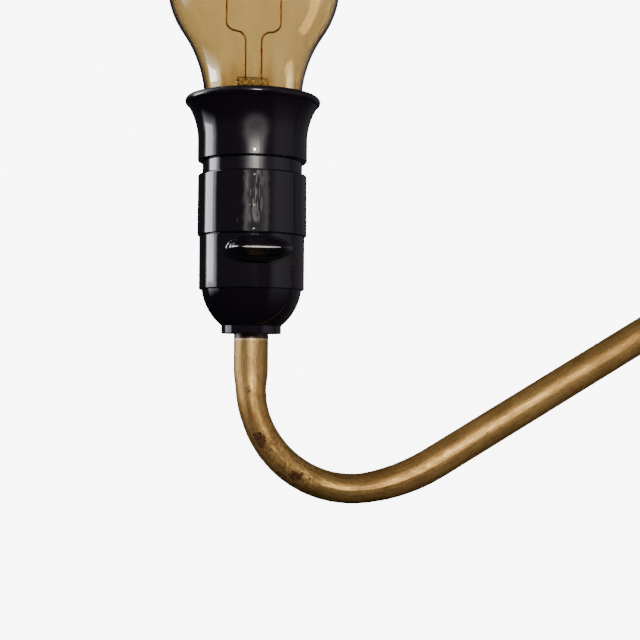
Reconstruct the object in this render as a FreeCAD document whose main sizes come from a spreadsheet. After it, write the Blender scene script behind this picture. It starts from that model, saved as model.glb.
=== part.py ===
"""Swing-arm wall lamp: a bent brass tube that turns in two eyes on a wall plate and
carries a switched black lampholder with a clear screw-in bulb.

Frame: the origin is the centre of the wall plate's back face, +Y points into the wall,
+Z is up, and the arm points straight away from the wall, along -Y. Millimetres and degrees.
The lampholder and the bulb are drawn in a frame of their own, whose origin is the centre of
the lower end of the holder's collar and whose +Z is the holder's axis.
"""
import FreeCAD, Part
import math
import os
import Sketcher
from FreeCAD import Placement, Rotation, Vector

SIZES = (
    ("reach", 400.0, "wall face to the lampholder's axis"),
    ("pivot_offset", 38.0, "wall face to the axis on which the arm swings"),
    ("plate_width", 58.0, "wall plate, side to side"),
    ("plate_height", 104.0, "wall plate, end to end"),
    ("plate_thickness", 3.0, "wall plate"),
    ("plate_corner", 14.0, "rounding of the wall plate's corners"),
    ("plate_edge", 0.8, "bevel round the wall plate's front edge"),
    ("wall_hole_radius", 2.25, "hole for a wall screw"),
    ("wall_hole_sink", 2.2, "width of the bevel that sinks the wall screw's head"),
    ("wall_hole_spacing", 42.0, "between the two wall screws, either side of the arm's leg"),
    ("lug_spacing", 54.0, "between the middles of the two eyes"),
    ("lug_root_radius", 7.5, "foot of a lug, where it stands on the plate"),
    ("lug_root_length", 2.5, "foot of a lug"),
    ("lug_taper", 6.0, "length over which the foot narrows to the stem"),
    ("lug_stem_radius", 4.6, "stem of a lug"),
    ("eye_radius", 11.0, "outside of an eye"),
    ("eye_height", 12.0, "eye, along the swing axis"),
    ("eye_edge", 1.2, "rounding of the eye's two rims"),
    ("lug_screw_radius", 2.5, "screw that holds a lug to the plate from behind"),
    ("lug_screw_length", 11.0, "that screw, from the plate's back face"),
    ("lug_screw_head", 4.6, "radius of its sunk head"),
    ("bush_wall", 1.5, "bearing bush in an eye"),
    ("bush_flange", 2.2, "how far the bush's flange stands out beyond its barrel"),
    ("bush_flange_height", 1.2, "flange of the bush"),
    ("running_gap", 0.06, "radial gap of a turning fit"),
    ("seat_gap", 0.05, "gap between faces that seat on each other"),
    ("washer_height", 1.0, "thrust washer under the stop collar"),
    ("collar_wall", 4.2, "stop collar"),
    ("collar_height", 9.0, "stop collar"),
    ("collar_screw_radius", 2.0, "clamping screw of the stop collar"),
    ("collar_screw_head", 3.6, "radius of that screw's head"),
    ("collar_screw_head_height", 2.6, "head of the clamping screw"),
    ("slot_width", 0.8, "driver slot in a screw"),
    ("slot_depth", 1.0, "driver slot in a screw"),
    ("tube_radius", 6.0, "outside of the arm's tube"),
    ("tube_wall", 1.0, "wall of the arm's tube"),
    ("leg_rise", 12.75, "straight leg between the stop collar and the top bend"),
    ("top_bend_radius", 36.0, "centre line of the top bend"),
    ("hook_radius", 36.5, "centre line of the tight part of the hook under the holder"),
    ("hook_angle", 98.5, "turn of that part"),
    ("sweep_radius", 67.0, "centre line of the open part of the hook"),
    ("sweep_angle", 22.2, "turn of that part"),
    ("lead_length", 16.0, "straight end of the tube under the holder"),
    ("hook_flattening", 1.9, "most that the tube loses in thickness in the plane of the hook"),
    ("flat_start", 5.5, "how far above the hook its flattening begins"),
    ("top_flattening", 1.2, "the same in the top bend"),
    ("ferrule_wall", 2.3, "brass end piece on the leg's lower end"),
    ("ferrule_depth", 14.0, "how far the leg stands in the end piece"),
    ("ferrule_floor", 3.0, "floor of the end piece"),
    ("ferrule_shoulder", 4.0, "height of the curve round the end piece's foot"),
    ("ferrule_gap", 0.8, "end play between the lower eye and the end piece"),
    ("inlet_radius", 3.5, "bore of the lead's inlet bush"),
    ("inlet_wall", 1.2, "barrel of the inlet bush"),
    ("inlet_lip", 1.4, "lip of the inlet bush, beyond its barrel and below the end piece"),
    ("wire_start", 8.0, "leg's lower end to the end of the conductors"),
    ("wire_radius", 1.15, "insulated conductor"),
    ("wire_offset", 1.3, "conductor's distance from the plane of the arm"),
    ("wire_bend", 4.0, "bends of a conductor inside the holder"),
    ("wire_grip", 2.0, "how far a conductor's end stands in its terminal"),
    ("fibre_height", 1.6, "fibre washer between the tube and the holder"),
    ("nipple_wall", 1.3, "threaded nipple"),
    ("nipple_reach", 12.0, "nipple's length on either side of the holder's collar end"),
    ("nut_radius", 8.0, "lock nut, across its corners"),
    ("nut_height", 3.0, "lock nut"),
    ("nut_room", 1.3, "clear floor of the cap round the lock nut"),
    ("cap_floor", 6.5, "thickness of the cap at its collar"),
    ("collar_radius", 10.4, "collar of the cap"),
    ("collar_rise", 2.8, "height of the cap's collar"),
    ("dome_radius", 19.0, "curve of the cap's dome"),
    ("housing_step", 0.95, "how far the switch housing stands out beyond the dome"),
    ("dome_height", 15.2, "height at which the switch housing starts"),
    ("dome_wall_shift", 2.0, "how much higher the dome's inside ends than its outside"),
    ("housing_wall", 2.77, "wall of the switch housing"),
    ("housing_height", 18.3, "switch housing"),
    ("spigot_wall", 1.4, "threaded spigot on which the sleeve is screwed"),
    ("spigot_height", 6.5, "that spigot, above the switch housing"),
    ("joint_gap", 0.3, "visible gap between the cap and the sleeve"),
    ("sleeve_wall", 1.9, "sleeve at its lower end"),
    ("sleeve_draft", 0.12, "how much the sleeve narrows to its upper end"),
    ("sleeve_height", 21.25, "sleeve, up to its shoulder"),
    ("sleeve_edge", 0.8, "rounding of the sleeve's upper edge"),
    ("neck_step", 1.65, "how far the neck stands back from the sleeve"),
    ("neck_room", 0.75, "clear space between the neck and the screw shell"),
    ("neck_reach", 11.8, "threaded neck inside the shade ring"),
    ("thread_gap", 0.15, "radial gap of a screwed-on cover"),
    ("groove_height", 4.5, "bare neck between the sleeve and the shade ring"),
    ("ring_skirt", 1.52, "wall of the shade ring where it is straight"),
    ("ring_straight", 7.25, "straight part of the shade ring"),
    ("flare_radius", 22.9, "curve of the flare"),
    ("flare_height", 12.1, "flare of the shade ring"),
    ("lip_radius", 1.57, "rolled lip of the shade ring"),
    ("lip_blend", 0.1, "how much lower the lip is than its full half round"),
    ("ring_wall", 1.7, "wall of the flare"),
    ("edge", 0.4, "small broken edge"),
    ("base_radius", 15.4, "ceramic base inside the cap"),
    ("base_height", 19.0, "ceramic base below its flange"),
    ("deck_height", 3.0, "flange of the base, clamped between cap and sleeve"),
    ("key_rise", 13.0, "switch's axis above the housing's lower end"),
    ("drum_side_room", 0.3, "drum to the walls of its chamber, along the switch's axis"),
    ("drum_room", 1.8, "drum to the walls of its chamber, all round"),
    ("notch_overlap", 0.5, "how far a notch in the base runs into the spaces that it joins"),
    ("shaft_radius", 2.5, "switch shaft"),
    ("shaft_inner_end", 8.0, "switch shaft, beyond the holder's axis"),
    ("drum_radius", 6.2, "switch drum"),
    ("drum_width", 7.0, "switch drum"),
    ("bridge_width", 2.0, "brass bridge set in the drum, along the shaft"),
    ("bridge_hub", 1.4, "wall of the bridge's hub round the shaft"),
    ("bridge_arm", 3.0, "width of the bridge's two arms"),
    ("leaf_thickness", 0.4, "contact springs"),
    ("leaf_width", 5.0, "contact springs"),
    ("leaf_gap", 0.1, "contact spring to drum"),
    ("terminal_width", 7.0, "terminal block, along the switch's axis"),
    ("terminal_depth", 4.4, "terminal block, outwards"),
    ("terminal_height", 6.8, "terminal block"),
    ("terminal_offset", 11.5, "terminal block's middle, from the holder's axis"),
    ("terminal_screw_radius", 1.25, "terminal screw"),
    ("pocket_gap", 0.1, "clearance of a loose part in its ceramic pocket"),
    ("shell_radius", 13.65, "outside of the screw shell"),
    ("shell_wall", 0.35, "screw shell"),
    ("shell_height", 25.0, "screw shell"),
    ("shell_hole", 8.8, "opening in the screw shell's floor"),
    ("rivet_radius", 1.3, "shell rivet"),
    ("rivet_head", 1.9, "radius of its head"),
    ("rivet_length", 6.0, "shell rivet below the deck"),
    ("key_neck_wall", 1.1, "neck of the switch key round its shaft"),
    ("key_gap", 0.4, "switch key to housing"),
    ("key_neck_length", 1.3, "neck of the switch key"),
    ("key_half_width", 11.25, "grip of the switch key where it is widest"),
    ("key_half_height", 4.45, "grip of the switch key where it is thickest"),
    ("key_depth", 6.8, "grip of the switch key, along its shaft"),
    ("cap_shell_play", 0.1, "radial play of the bulb's screw cap in the screw shell"),
    ("cap_shell_wall", 0.35, "bulb's screw cap"),
    ("cap_shell_height", 25.9, "bulb, from its lowest point to its screw cap's rim"),
    ("cap_taper", 4.0, "how much the screw cap narrows to its insulator"),
    ("cap_taper_height", 3.0, "height of that taper"),
    ("contact_rise", 2.7, "bulb's lowest point above the base's deck"),
    ("eyelet_radius", 4.6, "centre contact of the bulb"),
    ("eyelet_height", 0.9, "centre contact of the bulb"),
    ("insulator_height", 4.6, "black glass round the bulb's centre contact"),
    ("glass_wall", 0.8, "bulb"),
    ("cement_gap", 0.45, "cement between the bulb's neck and its cap"),
    ("glass_grip", 5.6, "length of the bulb's neck inside its cap"),
    ("neck_flare", 1.6, "widening of the bulb's neck just above its cap, out and up"),
    ("neck_opening", 3.2, "further widening up to where the neck starts to curve"),
    ("neck_rise", 12.2, "height over which it widens so"),
    ("globe_radius", 30.0, "bulb's globe"),
    ("globe_rise", 36.2, "centre of the globe above the neck"),
    ("globe_join_angle", 35.0, "how far below the globe's equator the neck's curve meets it"),
    ("stem_height", 23.0, "glass stem, from the neck's end to the top of its pinch"),
    ("stem_radius", 4.2, "stem below its pinch"),
    ("pinch_half_width", 5.6, "flattened top of the stem"),
    ("pinch_half_depth", 1.8, "flattened top of the stem"),
    ("support_radius", 0.35, "lead-in wires of the filament"),
    ("filament_radius", 0.45, "coiled filament"),
    ("filament_span", 9.5, "radius of the arc in which the filament hangs"),
    ("filament_rise", 33.0, "filament above the stem's pinch"),
)

# The key's grip, from its foot outwards: share of its depth, and there its width and height
# as shares of the widest and the thickest.
KEY_STATIONS = ((0, 0.95, 0.9), (0.06, 1, 1), (0.14, 0.985, 0.97), (0.24, 0.92, 0.84),
                (0.45, 0.86, 0.62), (0.7, 0.77, 0.38), (0.88, 0.68, 0.22), (0.96, 0.62, 0.14),
                (1, 0.57, 0.06))

# The hook's ovals, measured on the photograph. For the end of the straight piece above it, its
# tight part and its open part: share of the way through, and share of the full flattening.
LEAD_OVALS = ((0, 0), (0.3, 0.06), (0.65, 0.28), (1, 0.57))
HOOK_OVALS = ((0.07, 0.81), (0.14, 0.95), (0.21, 1), (0.3, 0.94), (0.42, 0.85), (0.55, 0.79),
              (0.68, 0.77), (0.82, 0.79), (0.93, 0.77), (1, 0.7))
SWEEP_OVALS = ((0.15, 0.54), (0.32, 0.36), (0.5, 0.21), (0.7, 0.09), (0.88, 0.02), (1, 0))
TOP_STEPS = 9  # ovals of the top bend
RIGHT_ANGLE = 90
NUT_SIDES = 6
OVERSHOOT = 1  # how far a cut runs out of the piece that it opens

doc = FreeCAD.newDocument("swing_arm_wall_lamp")
sheet = doc.addObject("Spreadsheet::Sheet", "sizes")
derived = doc.addObject("App::VarSet", "derived")


class Size:
    """A size: the expression that gives it in the document, and its present number."""

    def __init__(self, text, number):
        self.text = text
        self.number = number

    def __add__(self, other):
        other = sized(other)
        return Size(f"({self.text} + {other.text})", self.number + other.number)

    def __sub__(self, other):
        other = sized(other)
        return Size(f"({self.text} - {other.text})", self.number - other.number)

    def __mul__(self, other):
        other = sized(other)
        return Size(f"({self.text} * {other.text})", self.number * other.number)

    def __truediv__(self, other):
        other = sized(other)
        return Size(f"({self.text} / {other.text})", self.number / other.number)

    def __neg__(self):
        return Size(f"(-1 * {self.text})", -self.number)

    def __rsub__(self, other):
        return sized(other) - self

    __radd__ = __add__
    __rmul__ = __mul__


def sized(value):
    """A plain number as a Size; a Size stays as it is."""
    if isinstance(value, Size):
        return value
    return Size(repr(float(value)), float(value))


def sine(angle):
    return Size(f"sin({angle.text})", math.sin(math.radians(angle.number)))


def cosine(angle):
    return Size(f"cos({angle.text})", math.cos(math.radians(angle.number)))


def root(value):
    return Size(f"sqrt({value.text})", math.sqrt(value.number))


class Named:
    """The sizes of the sheet and those worked out from them, each under its name."""

    def __init__(self):
        for row, (name, number, meaning) in enumerate(SIZES, start=1):
            sheet.set(f"A{row}", name)
            sheet.set(f"B{row}", str(number))
            sheet.set(f"C{row}", meaning)
            sheet.setAlias(f"B{row}", name)
            setattr(self, name, Size(f"sizes.{name}", number))

    def derive(self, name, size):
        """Keep a worked-out size as a property of the document, bound to the sheet."""
        derived.addProperty("App::PropertyFloat", name, "Worked out")
        derived.setExpression(name, size.text)
        setattr(self, name, Size(f"derived.{name}", size.number))


n = Named()
doc.recompute()

n.derive("lug_z", n.lug_spacing / 2)
n.derive("bush_bore", n.tube_radius + n.running_gap)
n.derive("eye_bore", n.bush_bore + n.bush_wall)
n.derive("bush_end", n.lug_z + n.eye_height / 2 + n.bush_flange_height)
n.derive("collar_z", n.bush_end + n.washer_height + n.seat_gap)
n.derive("leg_top", n.collar_z + n.collar_height + n.leg_rise)
n.derive("ferrule_top", -(n.bush_end + n.ferrule_gap))
n.derive("leg_foot", n.ferrule_top - n.ferrule_depth + n.seat_gap)
n.derive("ferrule_radius", n.tube_radius + n.ferrule_wall)

n.derive("top_angle", n.hook_angle + n.sweep_angle)
n.derive("slope", n.top_angle - RIGHT_ANGLE)
n.derive("hook_y", n.hook_radius - n.reach)
n.derive("sweep_shift", n.hook_radius - n.sweep_radius)
n.derive("sweep_y", n.hook_y - n.sweep_shift * cosine(n.hook_angle))
n.derive("top_y", -(n.pivot_offset + n.top_bend_radius))
n.derive("run_low_y", n.sweep_y - n.sweep_radius * cosine(n.top_angle))
n.derive("run_high_y", n.top_y - n.top_bend_radius * sine(n.slope))
n.derive("run_length", (n.run_high_y - n.run_low_y) / cosine(n.slope))
n.derive("run_high_z", n.leg_top + n.top_bend_radius * cosine(n.slope))
n.derive("run_low_z", n.run_high_z - n.run_length * sine(n.slope))
n.derive("sweep_z", n.run_low_z + n.sweep_radius * sine(n.top_angle))
n.derive("hook_z", n.sweep_z + n.sweep_shift * sine(n.hook_angle))
n.derive("tube_top", n.hook_z + n.lead_length)
n.derive("holder_z", n.tube_top + n.fibre_height)
n.derive("tube_bore", n.tube_radius - n.tube_wall)
n.derive("nipple_radius", n.tube_bore - n.seat_gap)

n.derive("cap_bore", n.base_radius + n.pocket_gap)
n.derive("spigot_radius", n.cap_bore + n.spigot_wall)
n.derive("housing_radius", n.cap_bore + n.housing_wall)
n.derive("sleeve_bore", n.spigot_radius + n.thread_gap)
n.derive("sleeve_radius", n.sleeve_bore + n.sleeve_wall)
n.derive("neck_radius", n.sleeve_radius - n.neck_step)
n.derive("neck_bore", n.shell_radius + n.neck_room)
n.derive("ring_bore", n.neck_radius + n.thread_gap)
n.derive("ring_radius", n.ring_bore + n.ring_skirt)
n.derive("housing_top", n.dome_height + n.housing_height)
n.derive("spigot_top", n.housing_top + n.spigot_height)
n.derive("deck_top", n.spigot_top + n.deck_height)
n.derive("sleeve_foot", n.housing_top + n.joint_gap)
n.derive("sleeve_top", n.sleeve_foot + n.sleeve_height)
n.derive("ring_foot", n.sleeve_top + n.groove_height)
n.derive("neck_top", n.ring_foot + n.neck_reach)
n.derive("flare_foot", n.ring_foot + n.ring_straight)
n.derive("flare_top", n.flare_foot + n.flare_height)
n.derive("ring_top", n.flare_top + n.lip_radius * 2 - n.lip_blend)

n.derive("base_foot", n.spigot_top - n.base_height)
n.derive("key_height", n.dome_height + n.key_rise)
n.derive("leaf_y", n.drum_radius + n.leaf_gap)
n.derive("chamber_half_depth", n.drum_radius + n.drum_room)
n.derive("chamber_top", n.key_height + n.chamber_half_depth)
n.derive("terminal_foot", n.base_foot + n.pocket_gap)
n.derive("terminal_top", n.terminal_foot + n.terminal_height)
n.derive("shell_bore", n.shell_radius - n.shell_wall)
n.derive("shell_top", n.deck_top + n.shell_height)
n.derive("rivet_offset", (n.shell_hole + n.shell_bore) / 2)
n.derive("key_foot", n.housing_radius + n.key_gap)
n.derive("grip_foot", n.key_foot + n.key_neck_length)
n.derive("shaft_out", n.grip_foot + n.key_depth * 0.3)

n.derive("cap_shell_radius", n.shell_bore - n.cap_shell_play)
n.derive("cap_shell_bore", n.cap_shell_radius - n.cap_shell_wall)
n.derive("insulator_radius", n.cap_shell_radius - n.cap_taper)
n.derive("glass_foot_radius", n.cap_shell_bore - n.cement_gap)
n.derive("neck_low_radius", n.glass_foot_radius + n.neck_flare)
n.derive("neck_high_radius", n.neck_low_radius + n.neck_opening)
n.derive("bulb_foot", n.deck_top + n.contact_rise)
n.derive("cap_shell_top", n.bulb_foot + n.cap_shell_height)
n.derive("glass_foot", n.cap_shell_top - n.glass_grip)
n.derive("neck_low", n.cap_shell_top + n.neck_flare)
n.derive("neck_high", n.neck_low + n.neck_rise)
n.derive("globe_height", n.neck_high + n.globe_rise)
n.derive("stem_top", n.glass_foot + n.stem_height)
n.derive("filament_height", n.stem_top + n.filament_rise)


def place(item, position=(0, 0, 0), axis=(0, 0, 1), angle=0):
    """Put an object at a position, turned about an axis, and bind what a size decides."""
    spot = [sized(value) for value in position]
    turn = sized(angle)
    item.Placement = Placement(Vector(*[value.number for value in spot]),
                               Rotation(Vector(*axis), turn.number))
    item.setExpression("Placement", "create(<<placement>>; create(<<vector>>; "
                       f"{spot[0].text}; {spot[1].text}; {spot[2].text}); "
                       "create(<<rotation>>; create(<<vector>>; "
                       f"{axis[0]}; {axis[1]}; {axis[2]}); {turn.text}))")
    return item


class Corner:
    """A corner of an outline. With a radius, the edge that leaves it is an arc, which turns
    left (1) or right (-1) on its way to the next corner."""

    def __init__(self, x, y, radius=None, turn=1):
        self.x = sized(x)
        self.y = sized(y)
        self.radius = radius
        self.turn = turn

    def vector(self):
        return Vector(self.x.number, self.y.number, 0)


def arc_between(start, end):
    """The arc from one corner to the next as a sketch arc, which always turns left."""
    first, last = start.vector(), end.vector()
    chord = last - first
    height = math.sqrt(start.radius.number ** 2 - (chord.Length / 2) ** 2)
    side = Vector(-chord.y, chord.x, 0).normalize() * start.turn
    centre = (first + last) * 0.5 + side * height
    if start.turn < 0:
        first, last = last, first
    angles = [math.atan2(end_point.y - centre.y, end_point.x - centre.x)
              for end_point in (first, last)]
    circle = Part.Circle(centre, Vector(0, 0, 1), start.radius.number)
    return Part.ArcOfCircle(circle, *angles)


def bind(sketch, constraint, size):
    """Add a constraint with a size, bound to the size's expression."""
    index = sketch.addConstraint(constraint)
    sketch.setExpression(f"Constraints[{index}]", size.text)


def pin_point(sketch, edge, end, corner):
    """Fix a corner of a sketch at its place."""
    for size, kind, axis in ((corner.x, "DistanceX", -2), (corner.y, "DistanceY", -1)):
        if size.text == "0.0":
            sketch.addConstraint(Sketcher.Constraint("PointOnObject", edge, end, axis))
        else:
            bind(sketch, Sketcher.Constraint(kind, edge, end, size.number), size)


def draw(sketch, corners, closed=True):
    """Draw an outline through its corners, each of them fixed by the sizes."""
    corners = [corner if isinstance(corner, Corner) else Corner(*corner) for corner in corners]
    ends = corners[1:] + corners[:1] if closed else corners[1:]
    joins = []
    for start, end in zip(corners, ends):
        if start.radius is None:
            edge = sketch.addGeometry(Part.LineSegment(start.vector(), end.vector()), False)
            joins.append((edge, 1, 2))
            continue
        edge = sketch.addGeometry(arc_between(start, end), False)
        joins.append((edge, 1, 2) if start.turn > 0 else (edge, 2, 1))
        bind(sketch, Sketcher.Constraint("Radius", edge, start.radius.number), start.radius)
    following = joins[1:] + joins[:1] if closed else joins[1:]
    for (edge, _, last), (next_edge, first, _) in zip(joins, following):
        sketch.addConstraint(Sketcher.Constraint("Coincident", edge, last, next_edge, first))
    for (edge, first, _), corner in zip(joins, corners):
        pin_point(sketch, edge, first, corner)
    if not closed:
        pin_point(sketch, joins[-1][0], joins[-1][2], corners[-1])


def ring(sketch, x, y, radius):
    """Draw a circle."""
    centre = Corner(x, y)
    edge = sketch.addGeometry(Part.Circle(centre.vector(), Vector(0, 0, 1), radius.number), False)
    bind(sketch, Sketcher.Constraint("Radius", edge, radius.number), radius)
    pin_point(sketch, edge, 3, centre)


def new_body(node):
    body = doc.addObject("PartDesign::Body", node)
    body.Label = node
    return body


def new_sketch(body, name, plane="XY_Plane", lift=None):
    """An empty sketch on an origin plane of the body, or lifted off it along its normal."""
    sketch = body.newObject("Sketcher::SketchObject", name)
    support = [item for item in body.Origin.OriginFeatures if item.Role == plane]
    sketch.AttachmentSupport = [(support[0], "")]
    sketch.MapMode = "FlatFace"
    if lift is not None:
        sketch.AttachmentOffset = Placement(Vector(0, 0, lift.number), Rotation())
        sketch.setExpression("AttachmentOffset.Base.z", lift.text)
    return sketch


def boxed(sketch, x_low, x_high, y_low, y_high):
    """Draw a rectangle."""
    draw(sketch, [(x_low, y_low), (x_high, y_low), (x_high, y_high), (x_low, y_high)])


def revolve(body, sketch, axis="V_Axis"):
    feature = body.newObject("PartDesign::Revolution", sketch.Name + "_turned")
    feature.Profile = sketch
    feature.ReferenceAxis = (sketch, [axis])
    feature.Angle = 360
    sketch.Visibility = False
    return feature


def pad(body, sketch, length, middle=False, back=False):
    feature = body.newObject("PartDesign::Pad", sketch.Name + "_pad")
    feature.Profile = sketch
    feature.setExpression("Length", length.text)
    feature.Midplane = middle
    feature.Reversed = back
    return feature


def pocket(body, sketch, length, middle=False, along=False):
    """Cut an outline out of a body, against the sketch's normal or along it."""
    feature = body.newObject("PartDesign::Pocket", sketch.Name + "_pocket")
    feature.Profile = sketch
    feature.setExpression("Length", length.text)
    feature.Midplane = middle
    feature.Reversed = along
    return feature


def turned(node, corners):
    """A body turned from one outline, given as radius and height."""
    body = new_body(node)
    sketch = new_sketch(body, node + "_outline", "XZ_Plane")
    draw(sketch, corners)
    revolve(body, sketch)
    return body


def edges_where(body, test):
    """The names of the edges of a body's last feature that pass a test."""
    doc.recompute()
    return [f"Edge{index}" for index, edge in enumerate(body.Shape.Edges, start=1)
            if test(edge)]


def circle_edges(body, radius, level=None):
    """The names of a body's full circles of one radius, at one Y if a level is given."""
    def fits(edge):
        if edge.Curve.TypeId != "Part::GeomCircle" or not edge.isClosed():
            return False
        at_level = level is None or abs(edge.Curve.Center.y - level) < 0.01
        return at_level and abs(edge.Curve.Radius - radius.number) < 1e-4
    return edges_where(body, fits)


def edge_feature(body, kind, names, size):
    """A Fillet or Chamfer on named edges of the body's last feature."""
    base = body.Tip
    feature = body.newObject("PartDesign::" + kind, body.Name + "_" + kind.lower())
    feature.Base = (base, names)
    feature.setExpression("Size" if kind == "Chamfer" else "Radius", size.text)
    return feature


def on_holder(item, height=0, axis=(0, 0, 1), angle=0):
    """Put an object on the lampholder's axis, at a height over the collar's end."""
    return place(item, (0, -n.reach, n.holder_z + height), axis, angle)


def grouped(node, items):
    """Several like pieces in one node."""
    group = doc.addObject("Part::Compound", node)
    group.Label = node
    group.Links = items
    return group


def round_bar(name, radius, height):
    """A plain cylinder along its own Z."""
    bar = doc.addObject("Part::Cylinder", name)
    bar.setExpression("Radius", radius.text)
    bar.setExpression("Height", height.text)
    return bar


def fused(node, items):
    item = doc.addObject("Part::MultiFuse", node)
    item.Label = node
    item.Shapes = items
    return item


def cut(node, base, tool):
    item = doc.addObject("Part::Cut", node)
    item.Label = node
    item.Base = base
    item.Tool = tool
    return item


def make_wall_plate():
    """Brass plate with round corners, two sunk wall holes and two lug holes sunk behind."""
    body = new_body("wall_plate")
    outline = new_sketch(body, "plate_outline", "XZ_Plane")
    boxed(outline, n.plate_width / -2, n.plate_width / 2, n.plate_height / -2,
          n.plate_height / 2)
    pad(body, outline, n.plate_thickness)
    upright = edges_where(body, lambda edge: abs(edge.BoundBox.YLength
                                                 - n.plate_thickness.number) < 0.01)
    edge_feature(body, "Fillet", upright, n.plate_corner)
    lug_hole = n.lug_screw_radius + n.seat_gap
    holes = new_sketch(body, "plate_holes", "XZ_Plane")
    for side in (-1, 1):
        ring(holes, n.wall_hole_spacing * side / 2, 0, n.wall_hole_radius)
        ring(holes, 0, n.lug_z * side, lug_hole)
    pocket(body, holes, n.plate_thickness, along=True)
    front = -n.plate_thickness.number
    edge_feature(body, "Chamfer", circle_edges(body, n.wall_hole_radius, front),
                 n.wall_hole_sink)
    edge_feature(body, "Chamfer", circle_edges(body, lug_hole, 0),
                 n.lug_screw_head - n.lug_screw_radius)
    rim = edges_where(body, lambda edge: edge.BoundBox.YMax < front + 0.01
                      and not edge.isClosed())
    edge_feature(body, "Chamfer", rim, n.plate_edge)
    return place(body)


def make_lug(node, height):
    """Brass lug: a turned stem on a foot, with an upright eye for the bearing bush."""
    body = new_body(node)
    stem = new_sketch(body, node + "_stem", "XY_Plane")
    foot = -n.plate_thickness
    shoulder = foot - n.lug_root_length
    draw(stem, [(0, foot), (0, -n.pivot_offset), (n.lug_stem_radius, -n.pivot_offset),
                (n.lug_stem_radius, shoulder - n.lug_taper, n.lug_taper * 2, -1),
                (n.lug_root_radius, shoulder), (n.lug_root_radius, foot)])
    revolve(body, stem)
    eye = new_sketch(body, node + "_eye", "XY_Plane")
    ring(eye, 0, -n.pivot_offset, n.eye_radius)
    pad(body, eye, n.eye_height, middle=True)
    bore = new_sketch(body, node + "_bore", "XY_Plane")
    ring(bore, 0, -n.pivot_offset, n.eye_bore)
    pocket(body, bore, n.eye_height * 2, middle=True)
    tapped = new_sketch(body, node + "_tapped", "XZ_Plane")
    ring(tapped, 0, 0, n.lug_screw_radius + n.seat_gap)
    pocket(body, tapped, n.lug_screw_length + OVERSHOOT, along=True)
    edge_feature(body, "Fillet", circle_edges(body, n.eye_radius), n.eye_edge)
    return place(body, (0, 0, height))


def make_lug_screws():
    """Two sunk screws that hold the lugs from behind the plate."""
    screws = []
    for side in (-1, 1):
        head = n.lug_screw_head - n.lug_screw_radius
        screw = turned(f"lug_screw_{side + 2}", [
            (0, n.seat_gap), (n.lug_screw_head - n.seat_gap * 2, n.seat_gap),
            (n.lug_screw_radius, n.seat_gap + head), (n.lug_screw_radius, n.lug_screw_length),
            (0, n.lug_screw_length)])
        slot = new_sketch(screw, f"lug_screw_slot_{side + 2}", "XY_Plane", n.seat_gap)
        boxed(slot, -n.lug_screw_head, n.lug_screw_head, -n.slot_width / 2, n.slot_width / 2)
        pocket(screw, slot, n.slot_depth, along=True)
        screws.append(place(screw, (0, 0, n.lug_z * side), (1, 0, 0), 90))
    return grouped("lug_screws", screws)


def make_lug_bushes():
    """Two flanged bearing bushes; the upper one's flange is on top, the lower one's below."""
    bushes = []
    flange = n.eye_bore + n.bush_flange
    seat = n.eye_height / 2
    for side in (-1, 1):
        bush = turned(f"lug_bush_{side + 2}", [
            (n.bush_bore, -seat), (n.eye_bore, -seat), (n.eye_bore, seat), (flange, seat),
            (flange, seat + n.bush_flange_height), (n.bush_bore, seat + n.bush_flange_height)])
        bushes.append(place(bush, (0, -n.pivot_offset, n.lug_z * side),
                            (1, 0, 0), 90 - 90 * side))
    return grouped("lug_bushes", bushes)


def make_thrust_washer():
    """Washer between the upper bush and the stop collar."""
    outer = n.eye_bore + n.bush_flange
    washer = turned("thrust_washer", [
        (n.bush_bore, 0), (outer, 0), (outer, n.washer_height), (n.bush_bore, n.washer_height)])
    return place(washer, (0, -n.pivot_offset, n.bush_end))


def make_stop_collar():
    """Collar clamped on the leg: it stands on the washer and carries the whole arm."""
    outer = n.tube_radius + n.collar_wall
    bore = n.tube_radius + n.seat_gap
    collar = turned("stop_collar", [
        (bore, 0), (outer - n.edge, 0), (outer, n.edge), (outer, n.collar_height - n.edge * 2),
        (outer - n.edge * 2, n.collar_height), (bore, n.collar_height)])
    hole = new_sketch(collar, "collar_tapped", "YZ_Plane")
    ring(hole, 0, n.collar_height / 2, n.collar_screw_radius + n.seat_gap)
    pocket(collar, hole, outer * 2)
    return place(collar, (0, -n.pivot_offset, n.collar_z))


def make_collar_screw():
    """Slotted screw that clamps the stop collar on the leg."""
    tip = n.tube_radius + n.seat_gap
    seat = n.tube_radius + n.collar_wall
    top = seat + n.collar_screw_head_height
    screw = turned("collar_screw", [
        (0, tip), (n.collar_screw_radius, tip), (n.collar_screw_radius, seat),
        (n.collar_screw_head, seat), (n.collar_screw_head, top - n.edge),
        (n.collar_screw_head - n.edge, top), (0, top)])
    slot = new_sketch(screw, "collar_screw_slot", "XY_Plane", top)
    boxed(slot, -n.collar_screw_head, n.collar_screw_head, -n.slot_width / 2, n.slot_width / 2)
    pocket(screw, slot, n.slot_depth)
    return place(screw, (0, -n.pivot_offset, n.collar_z + n.collar_height / 2), (0, 1, 0), -90)


def bend_section(name, radius, loss, centre, turn, bend_radius, side):
    """One oval across a bend. The bend starts where its tube points straight down, and turns
    towards +Y (1) or comes from -Y (-1); an oval loses in the bend's plane what it gains
    across it."""
    oval = doc.addObject("Part::Ellipse", name)
    oval.setExpression("MajorRadius", (radius + loss).text)
    oval.setExpression("MinorRadius", (radius - loss).text)
    y = centre[0] - bend_radius * cosine(turn) * side
    z = centre[1] - bend_radius * sine(turn) * side
    return place(oval, (0, y, z), (1, 0, 0), turn)


def bend_loft(name, radius, sections):
    """A smooth solid through the ovals of a bend."""
    ovals = [bend_section(f"{name}_oval_{index}", radius, *section)
             for index, section in enumerate(sections)]
    loft = doc.addObject("Part::Loft", name)
    loft.Sections = ovals
    loft.Solid = True
    return loft


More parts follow.
